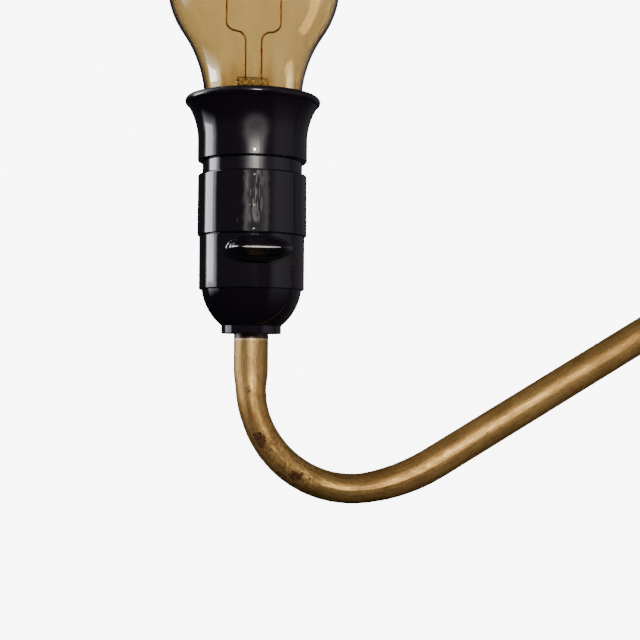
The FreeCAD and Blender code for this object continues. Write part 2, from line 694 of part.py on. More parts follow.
def tube_solid(name, radius):
    """The arm's round bar along its whole centre line, with its bends drawn oval."""
    hook = []
    for share, squash in LEAD_OVALS:
        centre = (n.hook_y, n.hook_z + n.flat_start * (1 - share))
        hook.append((n.hook_flattening * squash / 2, centre, n.hook_angle * 0, n.hook_radius, 1))
    for share, squash in HOOK_OVALS:
        hook.append((n.hook_flattening * squash / 2, (n.hook_y, n.hook_z),
                     n.hook_angle * share, n.hook_radius, 1))
    for share, squash in SWEEP_OVALS:
        hook.append((n.hook_flattening * squash / 2, (n.sweep_y, n.sweep_z),
                     n.hook_angle + n.sweep_angle * share, n.sweep_radius, 1))
    top = []
    for index in range(TOP_STEPS + 1):
        share = index / TOP_STEPS
        squash = round(math.sin(math.pi * share) ** 2, 4)
        top.append((n.top_flattening * squash / 2, (n.top_y, n.leg_top),
                    n.top_angle * share, n.top_bend_radius, -1))
    lead = place(round_bar(name + "_lead", radius, n.lead_length - n.flat_start),
                 (0, -n.reach, n.hook_z + n.flat_start))
    run = place(round_bar(name + "_run", radius, n.run_length),
                (0, n.run_low_y, n.run_low_z), (1, 0, 0), n.slope - 90)
    leg = place(round_bar(name + "_leg", radius, n.leg_top - n.leg_foot),
                (0, -n.pivot_offset, n.leg_foot))
    return fused(name, [lead, bend_loft(name + "_hook", radius, hook), run,
                        bend_loft(name + "_top", radius, top), leg])


def make_arm_tube():
    """The one continuous bent tube of the arm."""
    return cut("arm_tube", tube_solid("arm_bar", n.tube_radius),
               tube_solid("arm_bore", n.tube_bore))


def make_end_ferrule():
    """Turned end piece on the leg's lower end, which keeps the arm from lifting out."""
    depth = n.ferrule_depth
    floor = depth + n.ferrule_floor
    bore = n.tube_radius + n.seat_gap
    hole = n.inlet_radius + n.inlet_wall + n.seat_gap
    foot = n.ferrule_radius - n.ferrule_shoulder / 2
    ferrule = turned("end_ferrule", [
        (bore, 0), (bore, -depth), (hole, -depth), (hole, -floor), (foot, -floor,
                                                                     n.ferrule_shoulder),
        (n.ferrule_radius, n.ferrule_shoulder - floor), (n.ferrule_radius, -n.edge * 2),
        (n.ferrule_radius - n.edge * 2, 0)])
    return place(ferrule, (0, -n.pivot_offset, n.ferrule_top))


def make_inlet_bush():
    """Insulating bush in the end piece, through which the supply lead enters."""
    barrel = n.inlet_radius + n.inlet_wall
    bush = turned("inlet_bush", [
        (n.inlet_radius, -n.inlet_lip), (barrel + n.inlet_lip - n.edge, -n.inlet_lip),
        (barrel + n.inlet_lip, n.edge - n.inlet_lip), (barrel + n.inlet_lip, -n.seat_gap),
        (barrel, -n.seat_gap), (barrel, n.ferrule_floor), (n.inlet_radius, n.ferrule_floor)])
    return place(bush, (0, -n.pivot_offset, n.ferrule_top - n.ferrule_depth - n.ferrule_floor))


def make_wire(node, side, out):
    """Insulated conductor: from the inlet through the tube to its terminal."""
    body = new_body(node)
    foot = n.leg_foot + n.wire_start
    start = new_sketch(body, node + "_section", "XY_Plane", foot)
    ring(start, 0, -n.pivot_offset, n.wire_radius)
    rise = n.holder_z + n.nipple_reach
    level = rise + n.wire_bend
    landing = n.holder_z + n.terminal_foot + n.wire_grip
    bend_end = (n.terminal_offset - n.wire_bend) * out
    path = new_sketch(body, node + "_path", "YZ_Plane")
    draw(path, [
        (-n.pivot_offset, foot), (-n.pivot_offset, n.leg_top, n.top_bend_radius),
        (n.run_high_y, n.run_high_z), (n.run_low_y, n.run_low_z, n.sweep_radius, -1),
        (n.sweep_y - n.sweep_radius * cosine(n.hook_angle),
         n.sweep_z - n.sweep_radius * sine(n.hook_angle), n.hook_radius, -1),
        (-n.reach, n.hook_z), (-n.reach, rise, n.wire_bend, -out),
        (n.wire_bend * out - n.reach, level), (bend_end - n.reach, level, n.wire_bend, out),
        (n.terminal_offset * out - n.reach, level + n.wire_bend),
        (n.terminal_offset * out - n.reach, landing)], closed=False)
    pipe = body.newObject("PartDesign::AdditivePipe", node + "_pipe")
    pipe.Profile = start
    pipe.Spine = path
    return place(body, (n.wire_offset * side, 0, 0))


def make_fibre_washer():
    """Dark washer, as wide as the tube, between the tube's end and the holder."""
    washer = turned("fibre_washer", [
        (n.nipple_radius + n.seat_gap, -n.fibre_height), (n.tube_radius, -n.fibre_height),
        (n.tube_radius, 0), (n.nipple_radius + n.seat_gap, 0)])
    return on_holder(washer)


def make_nipple():
    """Threaded nipple that joins the tube and the holder."""
    bore = n.nipple_radius - n.nipple_wall
    nipple = turned("threaded_nipple", [
        (bore, -n.nipple_reach), (n.nipple_radius - n.edge, -n.nipple_reach),
        (n.nipple_radius, n.edge - n.nipple_reach), (n.nipple_radius, n.nipple_reach - n.edge),
        (n.nipple_radius - n.edge, n.nipple_reach), (bore, n.nipple_reach)])
    return on_holder(nipple)


def make_lock_nut():
    """Hexagon nut that clamps the cap on the nipple."""
    body = new_body("lock_nut")
    sketch = new_sketch(body, "nut_outline")
    corners = []
    for index in range(NUT_SIDES):
        turn = sized(360 * index / NUT_SIDES)
        corners.append((n.nut_radius * cosine(turn), n.nut_radius * sine(turn)))
    draw(sketch, corners)
    ring(sketch, 0, 0, n.nipple_radius + n.seat_gap)
    pad(body, sketch, n.nut_height)
    return on_holder(body, n.cap_floor)


def make_holder_cap():
    """Moulded cap: collar, dome, switch housing and the spigot for the sleeve."""
    floor_radius = n.nut_radius + n.nut_room
    bore = n.nipple_radius + n.seat_gap
    dome_edge = n.housing_radius - n.housing_step
    roof = n.dome_height + n.dome_wall_shift
    cap = turned("holder_cap", [
        (bore, 0), (n.collar_radius - n.edge, 0, n.edge), (n.collar_radius, n.edge),
        (n.collar_radius, n.collar_rise, n.dome_radius), (dome_edge, n.dome_height),
        (n.housing_radius - n.edge, n.dome_height, n.edge),
        (n.housing_radius, n.dome_height + n.edge), (n.housing_radius, n.housing_top),
        (n.spigot_radius, n.housing_top), (n.spigot_radius, n.spigot_top),
        (n.cap_bore, n.spigot_top), (n.cap_bore, roof, n.dome_radius, -1),
        (floor_radius, n.cap_floor), (bore, n.cap_floor)])
    hole = new_sketch(cap, "shaft_hole", "YZ_Plane")
    ring(hole, 0, n.key_height, n.shaft_radius + n.running_gap)
    pocket(cap, hole, n.housing_radius * 2, along=True)
    tapped = new_sketch(cap, "grub_hole", "YZ_Plane")
    ring(tapped, 0, n.cap_floor / 2, n.terminal_screw_radius + n.seat_gap)
    pocket(cap, tapped, n.housing_radius * 2)
    return on_holder(cap)


def make_grub_screw():
    """Small screw in the cap that keeps the holder from turning on the nipple."""
    tip = n.nipple_radius + n.seat_gap * 2
    top = n.collar_radius - n.seat_gap
    screw = turned("grub_screw", [
        (0, tip), (n.terminal_screw_radius, tip), (n.terminal_screw_radius, top), (0, top)])
    slot = new_sketch(screw, "grub_slot", "XY_Plane", top)
    boxed(slot, -n.terminal_screw_radius, n.terminal_screw_radius, -n.slot_width / 2,
          n.slot_width / 2)
    pocket(screw, slot, n.slot_depth)
    return on_holder(screw, n.cap_floor / 2, (0, 1, 0), -90)


def make_holder_sleeve():
    """Moulded sleeve that clamps the base, with the threaded neck for the shade ring."""
    inside = n.sleeve_bore
    foot = n.sleeve_foot
    shoulder = n.deck_top + n.seat_gap
    crown = n.sleeve_radius - n.sleeve_draft
    sleeve = turned("holder_sleeve", [
        (inside, foot), (n.sleeve_radius - n.edge, foot, n.edge),
        (n.sleeve_radius, foot + n.edge), (crown, n.sleeve_top - n.sleeve_edge, n.sleeve_edge),
        (crown - n.sleeve_edge, n.sleeve_top), (n.neck_radius, n.sleeve_top),
        (n.neck_radius, n.neck_top), (n.neck_bore, n.neck_top), (n.neck_bore, shoulder),
        (inside, shoulder)])
    return on_holder(sleeve)


def make_shade_ring():
    """Flared ring with a rolled lip, screwed on the sleeve's neck."""
    inside = n.ring_bore
    rise = n.flare_height
    flare = n.ring_radius + n.flare_radius - root(n.flare_radius * n.flare_radius - rise * rise)
    lip_top = flare - n.edge
    ring_body = turned("shade_ring", [
        (inside, n.ring_foot), (n.ring_radius - n.edge, n.ring_foot),
        (n.ring_radius, n.ring_foot + n.edge),
        (n.ring_radius, n.flare_foot, n.flare_radius, -1),
        (flare, n.flare_top, n.lip_radius), (lip_top, n.ring_top, n.flare_radius),
        (inside, n.flare_foot + n.ring_wall * 2)])
    return on_holder(ring_body)


def make_base():
    """Ceramic base: drum chamber, shaft bore, terminal pockets and slots for the contacts."""
    flange = n.spigot_radius
    body = turned("ceramic_base", [
        (0, n.base_foot), (n.base_radius, n.base_foot), (n.base_radius, n.spigot_top),
        (flange, n.spigot_top + n.seat_gap), (flange, n.deck_top), (0, n.deck_top)])
    half = n.drum_width / 2 + n.drum_side_room
    chamber = new_sketch(body, "drum_chamber")
    boxed(chamber, -half, half, -n.chamber_half_depth, n.chamber_half_depth)
    pocket(body, chamber, n.chamber_top, along=True)
    pocket_half = n.terminal_width / 2 + n.pocket_gap
    near = n.terminal_offset - n.terminal_depth / 2 - n.pocket_gap
    far = n.terminal_offset + n.terminal_depth / 2 + n.pocket_gap
    strip = far + n.leaf_thickness
    roof = n.terminal_top + n.leaf_thickness + n.pocket_gap
    pockets = new_sketch(body, "terminal_pockets")
    boxed(pockets, -pocket_half, pocket_half, near, far)
    boxed(pockets, -pocket_half, pocket_half, -strip, -near)
    pocket(body, pockets, roof, along=True)
    slot_half = n.leaf_width / 2 + n.pocket_gap
    notch = new_sketch(body, "live_spring_notch")
    boxed(notch, -slot_half, slot_half, n.chamber_half_depth - n.notch_overlap,
          near + n.notch_overlap)
    pocket(body, notch, roof, along=True)
    slots = new_sketch(body, "contact_slots")
    boxed(slots, -slot_half, slot_half, -n.leaf_y - n.leaf_thickness - n.pocket_gap,
          n.pocket_gap - n.leaf_y)
    boxed(slots, -slot_half, slot_half, -strip, n.pocket_gap * 2 - far)
    pocket(body, slots, n.deck_top + OVERSHOOT, along=True)
    bore = new_sketch(body, "shaft_bore", "YZ_Plane", -n.shaft_inner_end - n.pocket_gap)
    ring(bore, 0, n.key_height, n.shaft_radius + n.running_gap)
    pocket(body, bore, n.base_radius * 2, along=True)
    rivets = new_sketch(body, "rivet_holes", "XY_Plane", n.deck_top)
    for side in (-1, 1):
        ring(rivets, n.rivet_offset * side, 0, n.rivet_radius + n.seat_gap)
    pocket(body, rivets, n.rivet_length + n.seat_gap)
    return on_holder(body)


def make_terminal_blocks():
    """Two brass blocks, each with a hole for its wire and a tapped hole for its screw."""
    blocks = []
    half = n.terminal_width / 2
    for side in (-1, 1):
        body = new_body(f"terminal_block_{side + 2}")
        outline = new_sketch(body, f"terminal_outline_{side + 2}")
        middle = n.terminal_offset * side
        boxed(outline, -half, half, middle - n.terminal_depth / 2, middle + n.terminal_depth / 2)
        ring(outline, n.wire_offset * side, middle, n.wire_radius + n.seat_gap)
        pad(body, outline, n.terminal_height)
        tapped = new_sketch(body, f"terminal_tapped_{side + 2}", "YZ_Plane", n.wire_offset * side)
        ring(tapped, middle, n.terminal_height / 2, n.terminal_screw_radius + n.seat_gap)
        pocket(body, tapped, n.terminal_width, along=side < 0)
        blocks.append(on_holder(body, n.terminal_foot))
    return grouped("terminal_blocks", blocks)


def make_terminal_screws():
    """Two slotted screws that clamp the wires in their blocks."""
    screws = []
    for side in (-1, 1):
        name = f"terminal_screw_{side + 2}"
        tip = n.wire_radius + n.seat_gap
        top = n.terminal_width / 2 + n.wire_offset - n.seat_gap
        screw = turned(name, [(0, tip), (n.terminal_screw_radius, tip),
                              (n.terminal_screw_radius, top), (0, top)])
        slot = new_sketch(screw, name + "_slot", "XY_Plane", top)
        boxed(slot, -n.terminal_screw_radius, n.terminal_screw_radius, -n.slot_width / 2,
              n.slot_width / 2)
        pocket(screw, slot, n.slot_depth)
        height = n.terminal_foot + n.terminal_height / 2
        screws.append(place(screw, (n.wire_offset * side, n.terminal_offset * side - n.reach,
                                    n.holder_z + height), (0, 1, 0), -90 * side))
    return grouped("terminal_screws", screws)


def make_live_spring():
    """Contact spring from the live terminal to the drum."""
    body = new_body("live_spring")
    sketch = new_sketch(body, "live_spring_outline", "YZ_Plane")
    low = n.terminal_top
    high = n.key_height + n.bridge_arm
    outer = n.terminal_offset + n.terminal_depth / 2
    leaf = n.leaf_y + n.leaf_thickness
    draw(sketch, [(n.leaf_y, low), (outer, low), (outer, low + n.leaf_thickness),
                  (leaf, low + n.leaf_thickness), (leaf, high), (n.leaf_y, high)])
    pad(body, sketch, n.leaf_width, middle=True)
    return on_holder(body)


def make_centre_contact():
    """Contact spring from the drum, up through the base, to the bulb's centre contact."""
    body = new_body("centre_contact")
    sketch = new_sketch(body, "centre_contact_outline", "YZ_Plane")
    back = -n.leaf_y - n.leaf_thickness
    foot = n.key_height - n.bridge_arm
    tongue = n.bulb_foot - n.seat_gap * 2
    draw(sketch, [(back, foot), (-n.leaf_y, foot), (-n.leaf_y, n.deck_top + n.leaf_thickness),
                  (n.eyelet_radius / 2, tongue - n.leaf_thickness), (n.eyelet_radius / 2, tongue),
                  (back, n.deck_top + n.leaf_thickness * 2)])
    pad(body, sketch, n.leaf_width, middle=True)
    return on_holder(body)


def make_side_contact():
    """Strip from the neutral terminal to the screw shell."""
    body = new_body("side_contact")
    sketch = new_sketch(body, "side_contact_outline", "YZ_Plane")
    inner = -n.terminal_offset - n.terminal_depth / 2
    boxed(sketch, inner - n.leaf_thickness, inner, n.terminal_foot,
          n.deck_top + n.deck_height * 2)
    pad(body, sketch, n.leaf_width, middle=True)
    return on_holder(body)


def make_screw_shell():
    """Brass shell that takes the bulb's screw cap."""
    inner = n.shell_bore
    floor = n.deck_top + n.shell_wall
    shell = turned("screw_shell", [
        (n.shell_hole, n.deck_top), (n.shell_radius - n.edge, n.deck_top, n.edge),
        (n.shell_radius, n.deck_top + n.edge), (n.shell_radius, n.shell_top),
        (inner, n.shell_top), (inner, floor), (n.shell_hole, floor)])
    holes = new_sketch(shell, "shell_rivet_holes", "XY_Plane", floor)
    for side in (-1, 1):
        ring(holes, n.rivet_offset * side, 0, n.rivet_radius + n.seat_gap)
    pocket(shell, holes, n.shell_wall)
    return on_holder(shell)


def make_shell_rivets():
    """Two rivets that hold the screw shell on the base."""
    rivets = []
    seat = n.deck_top + n.shell_wall
    rise = n.rivet_head / 2
    crown = (n.rivet_head * n.rivet_head + rise * rise) / (rise * 2)
    for side in (-1, 1):
        rivet = turned(f"shell_rivet_{side + 2}", [
            (0, n.deck_top - n.rivet_length), (n.rivet_radius, n.deck_top - n.rivet_length),
            (n.rivet_radius, seat), (n.rivet_head, seat, crown), (0, seat + rise)])
        rivets.append(place(rivet, (n.rivet_offset * side, -n.reach, n.holder_z)))
    return grouped("shell_rivets", rivets)


def on_switch(item, height=0):
    """Put an object on the switch's axis, its own Z pointing out through the housing."""
    return place(item, (height, -n.reach, n.holder_z + n.key_height), (0, 1, 0), 90)


def make_switch_shaft():
    """Steel shaft from the base's far bore, through drum and housing, into the key."""
    shaft = turned("switch_shaft", [
        (0, -n.shaft_inner_end), (n.shaft_radius - n.edge, -n.shaft_inner_end),
        (n.shaft_radius, n.edge - n.shaft_inner_end), (n.shaft_radius, n.shaft_out),
        (0, n.shaft_out)])
    return on_switch(shaft)


def make_switch_drum():
    """Insulating drum on the shaft, with a recess in one face for the contact bridge."""
    half = n.drum_width / 2
    bore = n.shaft_radius + n.seat_gap / 2
    drum = turned("switch_drum", [
        (bore, -half), (n.drum_radius, -half), (n.drum_radius, half), (bore, half)])
    recess = new_sketch(drum, "bridge_recess", "XY_Plane", -half)
    arm = n.bridge_arm / 2 + n.seat_gap
    boxed(recess, -arm, arm, -n.drum_radius - OVERSHOOT, n.drum_radius + OVERSHOOT)
    pocket(drum, recess, n.bridge_width + n.seat_gap, along=True)
    hub = new_sketch(drum, "bridge_hub_recess", "XY_Plane", -half)
    ring(hub, 0, 0, n.shaft_radius + n.bridge_hub + n.seat_gap)
    pocket(drum, hub, n.bridge_width + n.seat_gap, along=True)
    return on_switch(drum)


def make_drum_bridge():
    """Brass bridge in the drum: a hub round the shaft with an arm to either side."""
    body = new_body("drum_bridge")
    hub = new_sketch(body, "bridge_hub", "XY_Plane")
    ring(hub, 0, 0, n.shaft_radius + n.bridge_hub)
    pad(body, hub, n.bridge_width)
    arms = new_sketch(body, "bridge_arms", "XY_Plane")
    arm = n.bridge_arm / 2
    reach = n.drum_radius - n.seat_gap - n.leaf_gap * 2
    boxed(arms, -arm, arm, -reach, reach)
    pad(body, arms, n.bridge_width)
    bore = new_sketch(body, "bridge_bore", "XY_Plane")
    ring(bore, 0, 0, n.shaft_radius + n.seat_gap / 2)
    pocket(body, bore, n.bridge_width, along=True)
    return on_switch(body, -n.drum_width / 2)


def make_switch_key():
    """Thumb key: a round neck and an oval grip that thins to a narrow ridge."""
    foot = n.key_foot
    ovals = []
    for index, (share, width, height) in enumerate(KEY_STATIONS):
        oval = doc.addObject("Part::Ellipse", f"key_oval_{index}")
        oval.setExpression("MajorRadius", (n.key_half_width * width).text)
        oval.setExpression("MinorRadius", (n.key_half_height * height).text)
        place(oval, (0, 0, n.grip_foot + n.key_depth * share), (0, 0, 1), 90)
        ovals.append(oval)
    grip = doc.addObject("Part::Loft", "key_grip")
    grip.Sections = ovals
    grip.Solid = True
    neck = place(round_bar("key_neck", n.shaft_radius + n.key_neck_wall, n.key_neck_length),
                 (0, 0, foot))
    bore = place(round_bar("key_bore", n.shaft_radius + n.seat_gap / 2,
                           n.shaft_out - foot + n.seat_gap), (0, 0, foot))
    return on_switch(cut("switch_key", fused("key_outside", [neck, grip]), bore))


def make_cap_eyelet():
    """Centre contact of the bulb."""
    eyelet = turned("bulb_eyelet", [
        (0, 0), (n.eyelet_radius - n.edge, 0), (n.eyelet_radius, n.edge),
        (n.eyelet_radius, n.eyelet_height), (0, n.eyelet_height)])
    return on_holder(eyelet, n.bulb_foot)


def make_cap_insulator():
    """Black glass that carries the centre contact in the bulb's cap."""
    foot = n.bulb_foot + n.eyelet_height + n.seat_gap
    top = foot + n.insulator_height
    insulator = turned("cap_insulator", [
        (0, foot), (n.eyelet_radius + n.edge, foot), (n.insulator_radius, top - n.cap_shell_wall),
        (n.insulator_radius, top), (0, top)])
    return on_holder(insulator)


def make_bulb_cap():
    """Brass screw cap of the bulb."""
    foot = n.bulb_foot + n.eyelet_height + n.insulator_height
    inner = n.cap_shell_bore
    hole = n.insulator_radius + n.seat_gap
    shoulder = foot + n.cap_taper_height
    cap = turned("bulb_cap", [
        (hole, foot), (n.cap_shell_radius, shoulder), (n.cap_shell_radius, n.cap_shell_top),
        (inner, n.cap_shell_top), (inner, shoulder + n.cap_shell_wall),
        (hole, foot + n.cap_shell_wall * 1.5)])
    return on_holder(cap)


def make_bulb_glass():
    """Clear blown glass: globe, neck and the foot that is cemented in the cap."""
    wall = n.glass_wall
    inner = n.globe_radius - wall
    join_r = n.globe_radius * cosine(n.globe_join_angle)
    join_z = n.globe_height - n.globe_radius * sine(n.globe_join_angle)
    over = join_r - n.neck_high_radius
    up = join_z - n.neck_high
    slant = up * sine(n.globe_join_angle) - over * cosine(n.globe_join_angle)
    curve = (over * over + up * up) / (slant * 2)
    foot_top = n.cap_shell_top + n.seat_gap
    glass = turned("bulb_glass", [
        (n.glass_foot_radius - wall, n.glass_foot), (n.glass_foot_radius, n.glass_foot),
        (n.glass_foot_radius, foot_top), (n.neck_low_radius, n.neck_low),
        (n.neck_high_radius, n.neck_high, curve, -1), (join_r, join_z, n.globe_radius),
        (0, n.globe_height + n.globe_radius), (0, n.globe_height + inner, inner, -1),
        (inner * cosine(n.globe_join_angle), n.globe_height - inner * sine(n.globe_join_angle),
         curve + wall),
        (n.neck_high_radius - wall, n.neck_high), (n.neck_low_radius - wall, n.neck_low),
        (n.glass_foot_radius - wall, foot_top + wall / 2)])
    return on_holder(glass)


def make_bulb_stem():
    """Glass stem: a flare sealed in the neck, a tube and the flattened pinch on top."""
    flare = n.glass_foot_radius - n.glass_wall - n.seat_gap
    rise = n.stem_top - n.glass_foot
    wide = (flare + n.stem_radius * 2) / 3
    narrow = n.stem_radius * 1.01
    stations = ((0, flare, flare), (0.12, (flare + wide) / 2, (flare + wide) / 2),
                (0.3, wide * 0.8, wide * 0.8), (0.55, narrow, n.stem_radius),
                (0.85, n.pinch_half_width, n.pinch_half_depth),
                (1, n.pinch_half_width, n.pinch_half_depth * 0.9))
    ovals = []
    for index, (share, wide, deep) in enumerate(stations):
        oval = doc.addObject("Part::Ellipse", f"stem_oval_{index}")
        oval.setExpression("MajorRadius", wide.text)
        oval.setExpression("MinorRadius", deep.text)
        place(oval, (0, 0, n.glass_foot + rise * share), (0, 0, 1), 90)
        ovals.append(oval)
    stem = doc.addObject("Part::Loft", "bulb_stem")
    stem.Label = "bulb_stem"
    stem.Sections = ovals
    stem.Solid = True
    return on_holder(stem)


def make_filament_leads():
    """Two wires that rise from the pinch and carry the ends of the filament."""
    leads = []
    for side in (-1, 1):
        body = new_body(f"filament_lead_{side + 2}")
        foot = n.stem_top + n.seat_gap
        section = new_sketch(body, f"lead_section_{side + 2}", "XY_Plane", foot)
        start = n.pinch_half_width / 2
        ring(section, 0, start * side, n.support_radius)
        path = new_sketch(body, f"lead_path_{side + 2}", "YZ_Plane")
        top = n.filament_height - n.filament_radius - n.seat_gap
        bend = (n.filament_span - start) / 2
        middle = (foot + top) / 2
        draw(path, [(start * side, foot), (start * side, middle - bend, bend, -side),
                    ((start + bend) * side, middle, bend, side),
                    (n.filament_span * side, middle + bend), (n.filament_span * side, top)],
             closed=False)
        pipe = body.newObject("PartDesign::AdditivePipe", f"lead_pipe_{side + 2}")
        pipe.Profile = section
        pipe.Spine = path
        leads.append(on_holder(body))
    return grouped("filament_leads", leads)


def make_filament():
    """Coiled filament, drawn as the round bar that its coil fills, in a half circle."""
    filament = doc.addObject("Part::Torus", "filament")
    filament.Label = "filament"
    filament.setExpression("Radius1", n.filament_span.text)
    filament.setExpression("Radius2", n.filament_radius.text)
    filament.Angle3 = 180
    return on_holder(filament, n.filament_height, (0, 0, 1), -90)


def make_everything():
    """Every sub-part, in the order in which the lamp is put together."""
    return [
        make_wall_plate(), make_lug("upper_lug", n.lug_z), make_lug("lower_lug", -n.lug_z),
        make_lug_screws(), make_lug_bushes(), make_thrust_washer(), make_stop_collar(),
        make_collar_screw(), make_arm_tube(), make_end_ferrule(), make_inlet_bush(),
        make_wire("live_wire", 1, 1), make_wire("neutral_wire", -1, -1), make_fibre_washer(),
        make_nipple(), make_lock_nut(), make_holder_cap(), make_grub_screw(),
        make_holder_sleeve(), make_shade_ring(), make_base(), make_terminal_blocks(),
        make_terminal_screws(), make_live_spring(), make_centre_contact(), make_side_contact(),
        make_screw_shell(), make_shell_rivets(), make_switch_shaft(), make_switch_drum(),
        make_drum_bridge(), make_switch_key(), make_cap_eyelet(), make_cap_insulator(),
        make_bulb_cap(), make_bulb_glass(), make_bulb_stem(), make_filament_leads(),
        make_filament()]


def check(nodes):
    """Stop if any object failed or any sub-part has no sound solid."""
    for item in doc.Objects:
        if "Invalid" in item.State or "Error" in item.State:
            raise RuntimeError(f"{item.Label} failed: {item.State}")
    for node in nodes:
        if node.Shape.isNull() or not node.Shape.isValid() or not node.Shape.Solids:
            raise RuntimeError(f"{node.Label} has no valid solid")


nodes = make_everything()
doc.recompute()
check(nodes)
os.makedirs("parts", exist_ok=True)
for node in nodes:
    node.Shape.exportStep(f"parts/{node.Label}.step")
    print(node.Label, len(node.Shape.Solids), round(node.Shape.Volume, 1))
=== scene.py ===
"""Finishes, drawn screw threads, coiled filament, studio and camera for a swing-arm wall lamp."""

import math

import bpy
from bpy.props import FloatProperty, FloatVectorProperty, IntProperty, PointerProperty
from bpy.types import Operator, Panel, PropertyGroup
from mathutils import Matrix, Vector


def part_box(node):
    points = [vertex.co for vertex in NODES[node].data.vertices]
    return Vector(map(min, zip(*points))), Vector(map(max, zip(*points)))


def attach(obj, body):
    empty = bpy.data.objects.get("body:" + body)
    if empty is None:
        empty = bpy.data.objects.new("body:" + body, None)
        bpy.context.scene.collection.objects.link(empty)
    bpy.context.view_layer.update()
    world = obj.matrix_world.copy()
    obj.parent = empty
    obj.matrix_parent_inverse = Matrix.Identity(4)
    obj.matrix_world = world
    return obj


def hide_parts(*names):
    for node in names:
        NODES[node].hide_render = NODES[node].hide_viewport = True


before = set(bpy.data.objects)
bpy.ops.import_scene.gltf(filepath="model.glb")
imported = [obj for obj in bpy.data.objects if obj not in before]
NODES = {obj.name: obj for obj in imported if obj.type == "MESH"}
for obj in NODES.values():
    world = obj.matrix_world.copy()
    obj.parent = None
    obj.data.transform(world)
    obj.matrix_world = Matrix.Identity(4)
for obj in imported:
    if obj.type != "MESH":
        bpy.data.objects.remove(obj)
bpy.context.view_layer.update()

bl_info = {
    "name": "Swing arm wall lamp",
    "version": (1, 0, 0),
    "blender": (4, 5, 0),
    "location": "3D View > Sidebar > Wall lamp",
    "description": "Dresses the packed wall lamp and sets up its studio",
    "category": "Object",
}

MM = 0.001
MICRON = 0.000001
HOLDER_LOW, HOLDER_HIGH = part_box("holder_cap")
HOLDER_Y = (HOLDER_LOW.y + HOLDER_HIGH.y) / 2
HOLDER_FOOT = HOLDER_LOW.z
SHELL_LOW, SHELL_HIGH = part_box("screw_shell")
CAP_LOW, CAP_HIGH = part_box("bulb_cap")
FILAMENT_LOW, FILAMENT_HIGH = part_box("filament")
KEY_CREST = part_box("switch_key")[1].x
WASHER_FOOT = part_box("fibre_washer")[0].z
RING_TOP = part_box("shade_ring")[1].z
SLEEVE_RADIUS = 18.9  # in millimetres
TUBE_FRONT = 5.5 * MM  # how far the tube's stained front stands from its centre line

# The tube's bends: centre out from the wall and up, then radius. The sweep follows the hook.
HOOK = (-363.5 * MM, -27.95 * MM, 36.5 * MM)
SWEEP = (-368.0 * MM, 2.22 * MM, 67.0 * MM)
TOP = (-74.0 * MM, 57.0 * MM, 36.0 * MM)
SWEEP_START = math.radians(98.5)
RUN_START = (-333.8 * MM, -55.39 * MM)
RUN_SLOPE = math.radians(30.7)


class Socket:
    """What a node puts out, with the arithmetic that a finish is written in."""

    def __init__(self, tree, link):
        self.tree = tree
        self.link = link

    def maths(self, operation, first, second):
        settings = {"operation": operation}
        return add_node(self.tree, "ShaderNodeMath", settings, {0: first, 1: second})

    def __add__(self, other):
        return self.maths("ADD", self, other)

    def __radd__(self, other):
        return self.maths("ADD", other, self)

    def __sub__(self, other):
        return self.maths("SUBTRACT", self, other)

    def __rsub__(self, other):
        return self.maths("SUBTRACT", other, self)

    def __mul__(self, other):
        return self.maths("MULTIPLY", self, other)

    def __rmul__(self, other):
        return self.maths("MULTIPLY", other, self)


def add_node(tree, kind, settings=None, sockets=None, output=0):
    """Adds one node: its settings first, then what its sockets hold or are linked to."""
    node = tree.nodes.new(kind)
    for name, value in (settings or {}).items():
        setattr(node, name, value)
    for name, value in (sockets or {}).items():
        if isinstance(value, Socket):
            tree.links.new(value.link, node.inputs[name])
        else:
            node.inputs[name].default_value = value
    return Socket(tree, node.outputs[output]) if node.outputs else None


